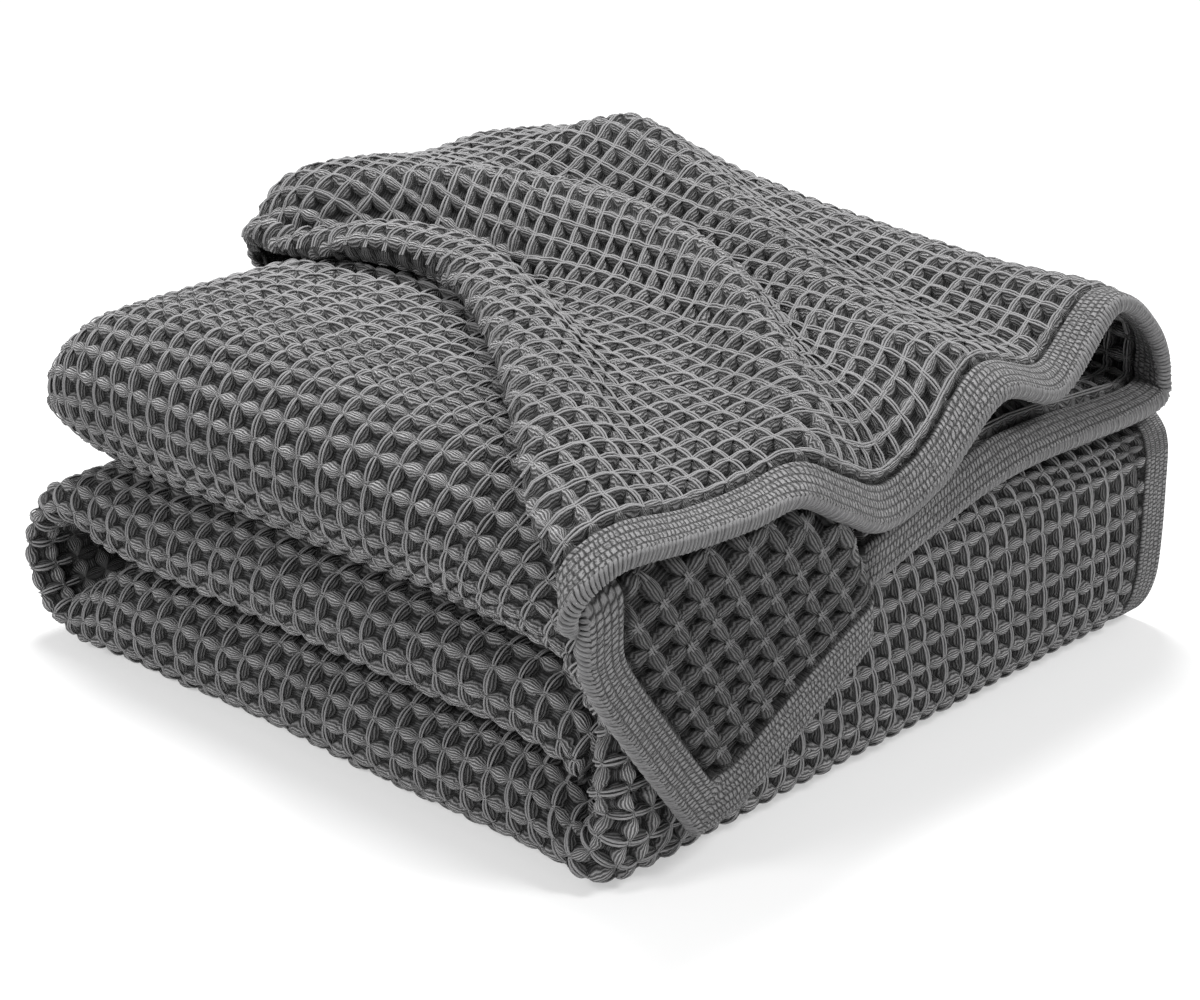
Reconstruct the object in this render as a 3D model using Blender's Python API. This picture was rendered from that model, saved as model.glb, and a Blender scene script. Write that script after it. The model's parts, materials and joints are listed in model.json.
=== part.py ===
"""Waffle weave cotton blanket, folded into a stack with its loose end drawn over the top.

Metres, +Z up, resting on z = 0. The stack's long roll faces -X, the hems of the loose end hang over
the -Y side. Sizes below are in millimetres until MM brings them to metres.
"""
import bpy
import numpy as np

MM = 0.001
RIGHT_X = 168.0          # open side of the stack, where the plies end
PLY_GAP = 0.035          # half the gap between plies, as a share of a band's half height
LEAST_GAP = 0.7          # the least that half gap is, in mm
BED_Z = 81.0             # underside of the top band
SLUMP_FROM = -60.0       # the top band sinks from here towards the open side
SLUMP_OVER = 195.0
RUN_X = (135.0, 75.0, 10.0, -60.0)          # where every ply is cut across, between its ends
PLY_END = 7.0            # a last cut this far from a ply's end
SLUMP_SHARE = 0.57
FLAP_HALF = 2.75         # half the cloth's thickness in the loose end
HEM_TAPER = 0.55         # thickness left at a rounded border, as a share
TUCK_TAPER = 0.45        # the same in the loose end's first fold, tucked under it
TUCK_ROWS = 3
BORDER = 0.12            # a border's rounding starts this far from it, in rows of FLAP
CORNER_BORDER = 0.08
TOP_ROWS = (26, 36)      # rows of STRIP on the top band's upper face

# How far each kind of ply ends inside RIGHT_X.
SET_BACK = {"run": 0.0, "inner": 5.0, "short": 3.0, "fold": 3.0, "roll": 0.0}

# The strip in side view, a row per station: its outer and inner face, and the roll's edge.
STRIP = np.array((
    (-157, 49, -151, 39, -165),      # tongue, where the middle band ends
    (-154, 62, -146, 37.5, -166),
    (-141, 71, -137, 41, -167),
    (-108, 76.5, -108, 44, -168),    # middle band
    (-40, 78.5, -40, 44, -169),
    (40, 78.5, 40, 44.5, -168),
    (100, 78, 100, 46, -169),
    (127, 77.5, 120, 50, -170),
    (148, 73, 138, 57, -170),        # turn at the far end
    (163, 62, 152, 54, -170),
    (171, 45, 161, 44, -170),
    (169, 26, 160, 29, -170),
    (157, 10, 150, 19, -170),
    (142, 2, 137, 27, -170),
    (120, 0, 120, 38, -171),         # bottom band
    (85, 0, 88, 41.5, -171),
    (20, 0, 20, 41.5, -170),
    (-60, 0, -60, 41.5, -171.5),
    (-116, 0, -112, 41, -171),
    (-142, 0, -132, 38, -171),
    (-157, 1.5, -144, 31, -171),
    (-168, 8, -152.5, 26, -171),     # wrap up the near end
    (-174, 22, -157.5, 28, -171),
    (-175.5, 42, -160.5, 38, -171),
    (-175.5, 62, -161.5, 56, -171),
    (-175, 84, -158, 72, -171.5),
    (-172, 104, -148, 79, -172),
    (-163, 122, -133, 80.5, -172),
    (-148, 134, -115, 81, -172),     # top band
    (-122, 142, -95, 81, -172),
    (-75, 148, -65, 81, -171),
    (0, 152, 0, 81, -172),
    (70, 154, 66, 81, -172),
    (112, 151.5, 102, 82, -171),
    (138, 143.5, 127, 85, -169),
    (153, 131, 141, 90, -166),
    (159, 116, 149, 97, -163),
    (157.5, 110, 150, 98.5, -161.5),
), float)

# Where the loose end leaves the top band's end and turns up behind it: y, the share of the rise
# from TURN_Z, and how far its left side draws in there.
TURN = ((147, 0.0, 36), (171, 0.05, 34), (178, 0.42, 28), (174, 0.78, 18), (158, 0.95, 6))
TURN_Z = 106.0
DRAW_FROM = -70.0        # that drawing in fades out from this x, over DRAW_OVER
DRAW_OVER = 110.0
FLAP_Y = (125, 85, 45, 0, -60, -105, -150)
BRINK_Y = -170.0         # where it bends over the front edge, halfway from the last FLAP_Y to the hem
HEM_Y = -180.0           # the hem's usual y; the brink follows part of what differs from it
BRINK_FOLLOW = 0.35
BRINK_DROP = 0.42        # share of the drop to the hem that is reached at the brink
# The loose end across, a row per fold: name, whether z counts from the bed, x at the turn, then
# x, z at each FLAP_Y, then x, y, z of its hem.
FLAP = (
    ("lip", 1, -61, ((-60, 3.4), (-51, 3.4), (-43, 3.4), (-63, 3.4), (-104, 3.4), (-139, 3.4), (-171, 4)),
     (-180, -177, 116)),
    ("foot", 1, -58.5, ((-61.5, 5), (-57, 4), (-51, 3.6), (-70, 3.4), (-111, 3.4), (-146, 3.6), (-179, 5)),
     (-193, -179, 114)),
    ("heel", 1, -54, ((-60, 9), (-59, 8.3), (-55, 7.8), (-75, 7.8), (-116, 7.8), (-151, 8.4), (-185, 11)),
     (-202, -182, 121)),
    ("flank", 1, -47, ((-54, 12), (-52, 12), (-48, 12), (-68, 12), (-109, 12.5), (-144, 13.5), (-177, 17)),
     (-199, -187, 132)),
    ("ridge_a", 0, -37, ((-40, 160), (-25, 163), (-23, 163), (-43, 163), (-81, 160), (-114, 156.5),
     (-150, 150)), (-183, -190, 139)),
    ("valley_ab", 0, -27, ((-27, 161), (2, 152.5), (12, 150), (-10, 150), (-48, 151), (-82, 149),
     (-118, 144)), (-151, -191, 138.5)),
    ("flank_b", 0, -17, ((-21, 168), (14, 165), (20, 164), (16, 161), (-12, 157), (-44, 152),
     (-80, 147)), (-122, -192, 136.5)),
    ("ridge_b", 0, -4, ((-8, 177), (28, 176), (34, 176.5), (32, 175), (11, 169.5), (-19, 163),
     (-51, 154.5)), (-96, -192, 136)),
    ("side_b", 0, 20, ((22, 176), (47, 172), (52, 171), (48, 167), (26, 160), (-4, 154), (-34, 148)),
     (-71, -191, 123)),
    ("valley_bc", 0, 42, ((48, 172), (66, 167), (68, 162), (60, 157), (36, 151.5), (10, 147.5),
     (-16, 143)), (-42, -188, 110)),
    ("flank_c", 0, 66, ((72, 172), (88, 178), (87, 172), (74, 164), (51, 157), (28, 152), (8, 148)),
     (-6, -186, 117)),
    ("ridge_c", 0, 90, ((98, 174), (110, 187.5), (104, 180), (87, 170), (64, 161), (46, 156),
     (33, 153)), (34, -184, 140)),
    ("valley_cd", 0, 118, ((124, 171), (132, 176), (128, 169), (112, 161), (96, 152.5), (86, 146),
     (82, 141)), (75, -183, 131)),
    ("ridge_d", 0, 140, ((142, 167), (148, 166), (146, 162), (141, 158), (134, 155), (126, 154),
     (122, 155.5)), (117, -179, 156)),
    ("rim", 0, 153, ((156, 154), (160, 149), (160, 146), (159, 143), (158, 141), (157, 141),
     (155, 142)), (146, -178, 138)),
    ("fold", 0, 160, ((162, 142), (163, 134), (163, 131), (163, 129), (163, 128), (163, 126),
     (162, 123)), (158, -178, 115)),
    ("under", 1, 164, ((164, 19), (152, 6), (148, 5), (147, 5), (147, 5), (147, 5), (147, 6)),
     (145, -180, 105)),
    ("low", 1, 167, ((165, 12), (128, 5), (104, 5), (84, 5), (62, 5), (50, 5), (45, 6)),
     (44, -180, 104)),
    ("end", 1, 170, ((166, 6), (108, 5), (74, 5), (45, 5), (10, 5), (-20, 5), (-38, 6)),
     (-44, -179.5, 84)),
)

# The hanging corner, a row per level from under the hem to its tip, columns from its left hem
# to the fold at its right: x, y, z.
CORNER = np.array((
    ((-196, -182, 122), (-160, -184, 126), (-120, -186, 127), (-85, -186.5, 122), (-69, -185.5, 118),
     (-63, -182, 116)),
    ((-193, -182, 97), (-152, -184, 100), (-112, -185.5, 102), (-75, -186, 100), (-60, -185.5, 98),
     (-54, -182.5, 97)),
    ((-172, -182, 65), (-134, -183, 70), (-100, -184, 76), (-66, -185, 82), (-52, -184.5, 82),
     (-46, -182, 82)),
    ((-138, -181.5, 20), (-113, -181.5, 25), (-86, -182, 40), (-58, -183, 56), (-47, -182, 61),
     (-42, -179.8, 62)),
), float)


def spline(rows, at):
    """Catmull-Rom curve through the rows, read at fractional row numbers."""
    rows = np.asarray(rows, float)
    at = np.asarray(at, float)
    low = np.clip(np.floor(at).astype(int), 0, len(rows) - 2)
    t = (at - low).reshape((-1,) + (1,) * (rows.ndim - 1))
    ends = (2 * rows[:1] - rows[1:2], rows, 2 * rows[-1:] - rows[-2:-1])
    p0, p1, p2, p3 = (np.concatenate(ends)[low + k] for k in range(4))
    bend = 2 * p0 - 5 * p1 + 4 * p2 - p3
    return 0.5 * (2 * p1 + (p2 - p0) * t + bend * t**2 + (3 * p1 - p0 - 3 * p2 + p3) * t**3)


def smooth(t):
    t = np.clip(t, 0.0, 1.0)
    return t * t * (3 - 2 * t)


def slumped(z, x):
    """Height in the top band after it sinks towards the open side."""
    share = SLUMP_SHARE * smooth((x - SLUMP_FROM) / SLUMP_OVER)
    return z - np.maximum(z - BED_Z, 0.0) * share


def bed_top(x, y):
    """Height of the top band's upper face."""
    rows = STRIP[TOP_ROWS[0]:TOP_ROWS[1]]
    return slumped(np.interp(y, rows[:, 0], rows[:, 1]), x)


def ply_path(gap):
    """The cloth across the strip, folded in four. Each entry gives, for both faces of the cloth, the
    share of the band's height, then how x is found there: from the roll, along the ply, or from the
    fold on the open side."""
    runs = ("end", "near_end") + RUN_X + ("start",)
    path = []
    for t in runs:
        path.append(((1.0, "run", t), (0.5 + gap, "run", t)))
    for a in np.radians((65, 42, 21, 0, -21, -42, -65)):
        path.append(((np.sin(a), "roll", np.cos(a)),
                     ((0.5 + gap) * np.sin(a), "roll", (0.5 + gap) * np.cos(a))))
    for t in runs[::-1][:-1]:
        path.append(((-1.0, "short", t), (-0.5 - gap, "short", t)))
    big, small = (1 - gap) / 2, gap
    for a in np.radians((-90, -45, 0, 45, 90)):
        path.append(((-(1 + gap) / 2 + big * np.sin(a), "fold", big * np.cos(a)),
                     (-0.5 + small * np.sin(a), "fold", small * np.cos(a))))
    for t in runs[1:]:
        path.append(((-gap, "short", t), (-0.5 + gap, "short", t)))
    for a in np.radians((-50, 0, 50)):
        path.append(((gap * np.sin(a), "roll", gap * np.cos(a)),
                     ((0.5 - gap) * np.sin(a), "roll", (0.5 - gap) * np.cos(a))))
    for t in runs[::-1]:
        path.append(((gap, "inner", t), (0.5 - gap, "inner", t)))
    return path


def strip_faces():
    """Both faces of the folded strip, as stations by samples by xyz."""
    rows = STRIP
    height = np.linalg.norm(rows[:, 0:2] - rows[:, 2:4], axis=1) / 2
    left = rows[:, 4]
    path = ply_path(np.maximum(PLY_GAP, LEAST_GAP / height))
    faces = []
    for side in (0, 1):
        points = np.zeros((len(rows), len(path), 3))
        for k, pair in enumerate(path):
            share, kind, value = pair[side]
            start = left + height
            end = RIGHT_X - SET_BACK[kind] - (0.5 * height if kind in ("short", "fold") else 0.0)
            if kind == "roll":
                x = start - value * height
            elif kind == "fold":
                x = end + value * height
            elif value in ("end", "near_end"):
                x = end - PLY_END * (value == "near_end")
            else:
                x = start if value == "start" else np.full(len(rows), value)
            outer, inner = slumped(rows[:, 1], x), slumped(rows[:, 3], x)
            points[:, k, 0] = x
            points[:, k, 1] = (rows[:, 0] + rows[:, 2] + share * (rows[:, 0] - rows[:, 2])) / 2
            points[:, k, 2] = (outer + inner + share * (outer - inner)) / 2
        faces.append(points)
    return faces


def flap_rows():
    """Control points of the loose end, folds by stations by xyz."""
    out = []
    for _name, on_bed, turn_x, columns, hem in FLAP:
        heights = [z + bed_top(x, y) * on_bed for (x, z), y in zip(columns, FLAP_Y)]
        row = []
        for y, rise, draw in TURN:
            x = turn_x + draw * (1 - smooth((turn_x - DRAW_FROM) / DRAW_OVER))
            low = slumped(TURN_Z, x)
            row.append((x, y, low + rise * (heights[0] - low)))
        for (x, _z), y, z in zip(columns, FLAP_Y, heights):
            row.append((x, y, z))
        x, z = columns[-1][0], heights[-1]
        row.append(((x + hem[0]) / 2, BRINK_Y + BRINK_FOLLOW * (hem[1] - HEM_Y),
                    z + BRINK_DROP * (hem[2] - z)))
        row.append(hem)
        out.append(row)
    return np.array(out, float)


def refine(grid, across, along):
    grid = spline(grid, across)
    return np.swapaxes(spline(np.swapaxes(grid, 0, 1), along), 0, 1)


def steps(count, per, border):
    """Fractional row numbers, with one more close to each end for a rounded border."""
    inner = np.linspace(0, count - 1, (count - 1) * per + 1)
    return np.concatenate(((0, border), inner[1:-1], (count - 1 - border, count - 1)))


def sheet_faces(grid, half, tuck=None):
    """Both faces of a sheet on this middle surface, thinner at its borders and in its tuck."""
    du = np.gradient(grid, axis=0)
    dv = np.gradient(grid, axis=1)
    normal = np.cross(du, dv)
    normal /= np.linalg.norm(normal, axis=2, keepdims=True)
    thick = np.full(grid.shape[:2], half)
    thick[[0, -1], :] *= HEM_TAPER
    thick[1:-1, [0, -1]] *= HEM_TAPER
    if tuck is not None:
        thick *= np.interp(tuck, (0, TUCK_ROWS), (TUCK_TAPER, 1.0))[:, None]
    return grid + normal * thick[..., None], grid - normal * thick[..., None]


def solid_from_faces(name, one, other, material):
    """A closed mesh between two matching grids."""
    rows, cols = one.shape[:2]
    points = np.concatenate((one.reshape(-1, 3), other.reshape(-1, 3))) * MM
    index = np.arange(rows * cols).reshape(rows, cols)
    far = index + rows * cols
    quads = []
    for i in range(rows - 1):
        for j in range(cols - 1):
            quads.append((index[i, j], index[i + 1, j], index[i + 1, j + 1], index[i, j + 1]))
            quads.append((far[i, j], far[i, j + 1], far[i + 1, j + 1], far[i + 1, j]))
    ring = [(i, 0) for i in range(rows)] + [(rows - 1, j) for j in range(1, cols)]
    ring += [(i, cols - 1) for i in range(rows - 2, -1, -1)] + [(0, j) for j in range(cols - 2, 0, -1)]
    for a, b in zip(ring, ring[1:] + ring[:1]):
        quads.append((index[b], index[a], far[a], far[b]))
    quads = np.array(quads)
    tris = np.concatenate((quads[:, [0, 1, 2]], quads[:, [0, 2, 3]]))
    volume = np.linalg.det(points[tris]).sum() / 6
    if volume < 0:
        quads = quads[:, ::-1]
    mesh = bpy.data.meshes.new(name)
    mesh.from_pydata([tuple(p) for p in points.tolist()], [], quads.tolist())
    mesh.materials.append(material)
    mesh.update()
    obj = bpy.data.objects.new(name, mesh)
    bpy.context.scene.collection.objects.link(obj)
    return obj


def cotton():
    material = bpy.data.materials.new("cotton")
    material.use_nodes = True
    shader = material.node_tree.nodes["Principled BSDF"]
    shader.inputs["Base Color"].default_value = (0.11, 0.11, 0.115, 1.0)
    shader.inputs["Roughness"].default_value = 0.92
    return material


def helper(obj):
    obj.hide_render = True
    obj.display_type = "WIRE"
    return obj


def join(obj, other):
    union = obj.modifiers.new("join_" + other.name, "BOOLEAN")
    union.operation = "UNION"
    union.solver = "EXACT"
    union.object = other


for old in list(bpy.data.objects):
    bpy.data.objects.remove(old)

cloth = cotton()
blanket = solid_from_faces("blanket", *strip_faces(), cloth)
flap_grid = flap_rows()
flap_at = steps(flap_grid.shape[0], 2, BORDER), steps(flap_grid.shape[1], 2, BORDER)
flap_faces = sheet_faces(refine(flap_grid, *flap_at), FLAP_HALF, flap_at[0])
flap = solid_from_faces("loose_end", *flap_faces, cloth)
corner_at = steps(CORNER.shape[0], 3, CORNER_BORDER), steps(CORNER.shape[1], 2, CORNER_BORDER)
corner_faces = sheet_faces(refine(CORNER, *corner_at), FLAP_HALF)
corner = solid_from_faces("hanging_corner", *corner_faces, cloth)
join(blanket, helper(flap))
join(blanket, helper(corner))
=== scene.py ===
"""Folded waffle weave cotton blanket: its woven relief, cords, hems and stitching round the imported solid."""
import json
import math

import bpy
import numpy as np
from mathutils import Matrix, Vector

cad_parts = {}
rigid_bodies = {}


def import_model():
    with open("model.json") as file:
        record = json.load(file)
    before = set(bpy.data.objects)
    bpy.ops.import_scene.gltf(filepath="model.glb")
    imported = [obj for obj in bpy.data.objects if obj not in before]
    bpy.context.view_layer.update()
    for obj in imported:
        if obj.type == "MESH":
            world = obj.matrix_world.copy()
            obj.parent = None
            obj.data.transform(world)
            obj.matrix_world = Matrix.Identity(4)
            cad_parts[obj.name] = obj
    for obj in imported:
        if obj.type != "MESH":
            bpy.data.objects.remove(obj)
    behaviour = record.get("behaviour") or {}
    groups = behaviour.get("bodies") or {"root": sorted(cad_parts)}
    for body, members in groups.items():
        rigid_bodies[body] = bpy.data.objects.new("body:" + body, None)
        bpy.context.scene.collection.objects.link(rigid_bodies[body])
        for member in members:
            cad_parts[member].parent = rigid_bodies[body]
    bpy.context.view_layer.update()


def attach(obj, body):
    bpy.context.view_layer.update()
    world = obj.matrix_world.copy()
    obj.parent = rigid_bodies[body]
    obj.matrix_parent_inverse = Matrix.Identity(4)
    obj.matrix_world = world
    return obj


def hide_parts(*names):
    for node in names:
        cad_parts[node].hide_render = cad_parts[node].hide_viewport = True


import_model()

# ---------------------------------------------------------------- sizes, in millimetres
MM = 0.001
CORNER_CELL = 12.5       # one waffle cell of the weave, on the hanging corner
FLAP_CELL = 10.4         # on the loose end
BAND_CELL, WRAP_CELL = 12.9, 11.6    # along the strip, on its bands and up its near end
ROLL_CELL = 10.9         # across the strip and round its roll
PER = 8                  # mesh steps across a cell
HEM, LOWER_HEM = 17.0, 21.0          # width of the hems, and of the hanging corner's lower one
HEM_RISE, RIPPLE = 0.75, 0.30        # a hem's height over the solid's face, and what its rows add
STITCH, STITCH_ROW = 1.9, 3.3        # its stitches along it, and its rows of them
SEAM, SEAM_SPREAD, SEAM_DEPTH = 1.6, 1.2, 1.3    # the groove along a hem's inner seam
EDGE_ROUND, EDGE_FADE = 3.0, 2.0     # a sheet's edge is rounded, and its relief fades, over this much
FLOOR = -2.6             # bottom of a pit, below the solid's face
# A bundle of yarns between crossings, where it is slack, where both ways are alike, and where it
# lies under a tight cord: half its width in cells, what is left of that at a crossing, its height.
HALF = (0.33, 0.275, 0.29)
PINCH = (0.16, 0.26, 0.20)
TALL = (4.6, 4.3, 3.0)
WIDEN = (1.35, 0.80, 0.90)           # how soon it widens away from a crossing
SADDLE = (0.60, 0.74, 0.62)          # share of the height that is left at a crossing
ROUND = (0.50, 0.52, 0.60)           # how full its cross-section is, from round to pointed
SWELL = 0.7              # how soon it rises away from a crossing
SIZE_LUCK = 0.20         # how much the bundles' heights differ
STRAND = 0.47            # radius of a cord's strand
TIE = 0.30               # radius of the short yarns over a knot
LOOP, LOOP_PITCH = 0.85, 1.85        # radius of the thread sewn over the edges, and its turns' pitch
LOOP_POINTS = 10         # points of each turn
CORD_SIDES = 4           # flat sides of every cord, yarn and thread
WAVER = 0.075            # how far the lines of the weave wander, in cells
SKEW = 20.0              # how far the cords lean across the near end
CRUMPLE = 2.0            # the bulges round the near end of the roll
CRUMPLE_Y, CRUMPLE_FADE = -146.0, 14.0   # where they start, and over how much
CRUMPLE_T, CRUMPLE_REACH = 4.0, 26.0     # their middle round the roll, and how far they reach
HEM_TAPER, HEM_THICK = 20.0, 3.4     # how far in the strip starts to thin to its long hem, and to what

# ---------------------------------------------------------------- the solid's own sizes
RIGHT_X = 168.0          # the strip's long hem
PLY_GAP, LEAST_GAP = 0.035, 0.7      # half the gap between plies: share of a band's half height, least
BED_Z = 81.0             # what lies over this height slumps to the right, by these
SLUMP_FROM, SLUMP_OVER, SLUMP_SHARE = -60.0, 195.0, 0.57
FLAP_HALF = 2.75         # half the loose end's thickness
TUCK_TAPER, TUCK_ROWS = 0.45, 3      # share of it at the lip, and the rows over which it thins there
TOP_ROWS = (26, 36)      # rows of STRIP on top, under the loose end

# The strip in side view: its outer and inner face (y, z, y, z) and the roll's edge (x).
STRIP = np.array((
    (-157, 49, -151, 39, -165), (-154, 62, -146, 37.5, -166), (-141, 71, -137, 41, -167),
    (-108, 76.5, -108, 44, -168), (-40, 78.5, -40, 44, -169), (40, 78.5, 40, 44.5, -168),
    (100, 78, 100, 46, -169), (127, 77.5, 120, 50, -170), (148, 73, 138, 57, -170),
    (163, 62, 152, 54, -170), (171, 45, 161, 44, -170), (169, 26, 160, 29, -170),
    (157, 10, 150, 19, -170), (142, 2, 137, 27, -170), (120, 0, 120, 38, -171),
    (85, 0, 88, 41.5, -171), (20, 0, 20, 41.5, -170), (-60, 0, -60, 41.5, -171.5),
    (-116, 0, -112, 41, -171), (-142, 0, -132, 38, -171), (-157, 1.5, -144, 31, -171),
    (-168, 8, -152.5, 26, -171), (-174, 22, -157.5, 28, -171), (-175.5, 42, -160.5, 38, -171),
    (-175.5, 62, -161.5, 56, -171), (-175, 84, -158, 72, -171.5), (-172, 104, -148, 79, -172),
    (-163, 122, -133, 80.5, -172), (-148, 134, -115, 81, -172), (-122, 142, -95, 81, -172),
    (-75, 148, -65, 81, -171), (0, 152, 0, 81, -172), (70, 154, 66, 81, -172),
    (112, 151.5, 102, 82, -171), (138, 143.5, 127, 85, -169), (153, 131, 141, 90, -166),
    (159, 116, 149, 97, -163), (157.5, 110, 150, 98.5, -161.5),
), float)
TURN_ROWS = (7, 14)      # rows of STRIP round the far end
WRAP_ROWS = (20, 27)     # rows up the near end

# The far turn of the loose end, from below: y, share of the way up from TURN_Z, how far its left draws
# in. That drawing in fades out from DRAW_FROM, over DRAW_OVER.
TURN = ((147, 0.0, 36), (171, 0.05, 34), (178, 0.42, 28), (174, 0.78, 18), (158, 0.95, 6))
TURN_Z = 106.0
DRAW_FROM, DRAW_OVER = -70.0, 110.0
FLAP_Y = (125, 85, 45, 0, -60, -105, -150)
# The brink between the last of them and the hem: its y, the hem's usual y, and its shares of the way.
BRINK_Y, HEM_Y, BRINK_FOLLOW, BRINK_DROP = -170.0, -180.0, 0.35, 0.42
# The loose end across: name, whether z counts from the bed, x at the turn, x, z at each FLAP_Y, its hem.
FLAP = (
    ("lip", 1, -48, ((-45, 3.0), (-43, 2.8), (-34, 2.8), (-53, 2.8), (-94, 2.8), (-130, 3.0), (-166, 4)),
     (-180, -177, 116)),
    ("foot", 1, -51, ((-50, 4), (-49, 4), (-42, 3.8), (-60, 3.8), (-101, 3.8), (-137, 4), (-174, 5)),
     (-193, -179, 114)),
    ("heel", 1, -53, ((-54, 7), (-55, 10), (-50, 10), (-69, 10), (-110, 10), (-146, 9.4), (-183, 11)),
     (-202, -182, 121)),
    ("flank", 1, -52, ((-52, 9.5), (-49, 15), (-44, 15.5), (-63, 15.5), (-104, 15.5), (-139, 15), (-175, 17)),
     (-199, -187, 132)),
    ("ridge_a", 0, -49, ((-46, 159), (-30, 166), (-26, 166.5), (-45, 165.5), (-83, 162), (-117, 157.5),
     (-151, 150)), (-183, -190, 139)),
    ("valley_ab", 0, -46, ((-41, 156.5), (-13, 149.5), (-5, 148), (-24, 149.5), (-57, 150), (-91, 147.5),
     (-124, 143)), (-151, -191, 137)),
    ("flank_b", 0, -40, ((-37, 166), (-1, 164), (7, 162), (4, 159), (-16, 154), (-49, 149.5),
     (-84, 145)), (-122, -192, 136)),
    ("ridge_b", 0, -23, ((-19, 177), (22, 178), (34, 176.5), (32, 175), (11, 169.5), (-19, 163),
     (-51, 154.5)), (-96, -192, 136)),
    ("side_b", 0, 13, ((17, 176.5), (47, 172), (52, 171), (48, 167), (26, 160), (-4, 154), (-34, 148)),
     (-71, -191, 123)),
    ("valley_bc", 0, 42, ((48, 172), (66, 167), (68, 162), (60, 157), (36, 151.5), (10, 147.5),
     (-16, 143)), (-42, -188, 110)),
    ("flank_c", 0, 66, ((72, 172), (88, 178), (87, 172), (74, 164), (51, 157), (28, 152), (8, 148)),
     (-6, -186, 117)),
    ("ridge_c", 0, 90, ((98, 174), (110, 187.5), (104, 180), (87, 170), (64, 161), (46, 156),
     (33, 153)), (34, -184, 140)),
    ("valley_cd", 0, 118, ((124, 171), (132, 176), (128, 169), (112, 161), (96, 152.5), (86, 146),
     (82, 141)), (75, -183, 131)),
    ("ridge_d", 0, 140, ((142, 167), (148, 166), (146, 162), (141, 158), (134, 155), (126, 154),
     (122, 155.5)), (117, -179, 156)),
    ("rim", 0, 153, ((156, 154), (160, 149), (160, 146), (159, 143), (158, 141), (157, 141),
     (155, 142)), (146, -178, 138)),
    ("fold", 0, 160, ((162, 142), (163, 134), (163, 131), (163, 129), (163, 128), (163, 126),
     (162, 123)), (158, -178, 115)),
    ("under", 1, 164, ((164, 19), (152, 6), (148, 5), (147, 5), (147, 5), (147, 5), (147, 6)),
     (145, -180, 105)),
    ("low", 1, 167, ((165, 12), (128, 5), (104, 5), (84, 5), (62, 5), (50, 5), (45, 6)),
     (44, -180, 104)),
    ("end", 1, 170, ((166, 6), (108, 5), (74, 5), (45, 5), (10, 5), (-20, 5), (-38, 6)),
     (-44, -179.5, 84)),
)
FLAP_NAMES = [row[0] for row in FLAP]
# The hanging corner, a row per level from under the hem to its tip, from its left hem to its fold.
CORNER = np.array((
    ((-191, -170, 125), (-158, -170, 138), (-120, -170, 140), (-87, -170, 136), (-70, -172, 124),
     (-64, -174, 117)),
    ((-196, -182, 122), (-160, -184, 126), (-120, -186, 127), (-85, -186.5, 122), (-69, -185.5, 118),
     (-63, -182, 116)),
    ((-193, -182, 97), (-152, -184, 100), (-112, -185.5, 102), (-75, -186, 100), (-60, -185.5, 98),
     (-54, -182.5, 97)),
    ((-172, -182, 65), (-134, -183, 70), (-100, -184, 76), (-66, -185, 82), (-52, -184.5, 82),
     (-46, -182, 82)),
    ((-138, -181.5, 20), (-113, -181.5, 25), (-86, -182, 40), (-58, -183, 56), (-47, -182, 61),
     (-42, -179.8, 62)),
), float)


# ---------------------------------------------------------------- curves and noise
def spline(rows, at):
    """Catmull-Rom curve through the rows, read at fractional row numbers."""
    rows = np.asarray(rows, float)
    at = np.asarray(at, float)
    low = np.clip(np.floor(at).astype(int), 0, len(rows) - 2)
    t = (at - low).reshape((-1,) + (1,) * (rows.ndim - 1))
    ends = (2 * rows[:1] - rows[1:2], rows, 2 * rows[-1:] - rows[-2:-1])
    p0, p1, p2, p3 = (np.concatenate(ends)[low + k] for k in range(4))
    bend = 2 * p0 - 5 * p1 + 4 * p2 - p3
    return 0.5 * (2 * p1 + (p2 - p0) * t + bend * t**2 + (3 * p1 - p0 - 3 * p2 + p3) * t**3)


def smooth(t):
    t = np.clip(t, 0.0, 1.0)
    return t * t * (3 - 2 * t)


def ramp(value, start, over):
    """0 up to the start, 1 past this much more, and smooth between."""
    return smooth((value - start) / over)


def unit(v):
    return v / np.maximum(np.linalg.norm(v, axis=-1, keepdims=True), 1e-9)


def chance(i, j, seed):
    """A repeatable random number from 0 to 1 for each pair of whole numbers."""
    x = np.sin(i * 12.9898 + j * 78.233 + seed * 37.719) * 43758.5453
    return x - np.floor(x)


def arc(points, axis=0):
    """Length along the points from the first."""
    step = np.linalg.norm(np.diff(points, axis=axis), axis=-1)
    zero = np.zeros_like(np.take(step, [0], axis=axis))
    return np.concatenate((zero, np.cumsum(step, axis=axis)), axis=axis)


def drift(p, q, seed):
    """Smooth noise from -1 to 1 that changes over about two cells."""
    p, q = np.broadcast_arrays(np.asarray(p) / 2.0, np.asarray(q) / 2.0)
    i, j = np.floor(p), np.floor(q)
    a, b = smooth(p - i), smooth(q - j)
    low = chance(i, j, seed) * (1 - a) + chance(i + 1, j, seed) * a
    high = chance(i, j + 1, seed) * (1 - a) + chance(i + 1, j + 1, seed) * a
    return (low * (1 - b) + high * b) * 2 - 1


def wavered(p, q):
    """Cell coordinates of a cloth whose lines wander a little."""
    return p + WAVER * drift(p, q, 3.0), q + WAVER * drift(p, q, 4.0)


# ---------------------------------------------------------------- the weave's relief
def by_tightness(values, tight):
    """A curve through three values, for a slack bundle, an even one and one under a tight cord."""
    slack, even_one, taut = values
    return slack + tight * (4 * even_one - 3 * slack - taut) + tight**2 * 2 * (slack - 2 * even_one + taut)


def crest(tight, swell):
    """Height over the pits of a bundle's middle line."""
    saddle = by_tightness(SADDLE, tight)
    return by_tightness(TALL, tight) * (saddle + (1 - saddle) * swell ** SWELL)


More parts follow.
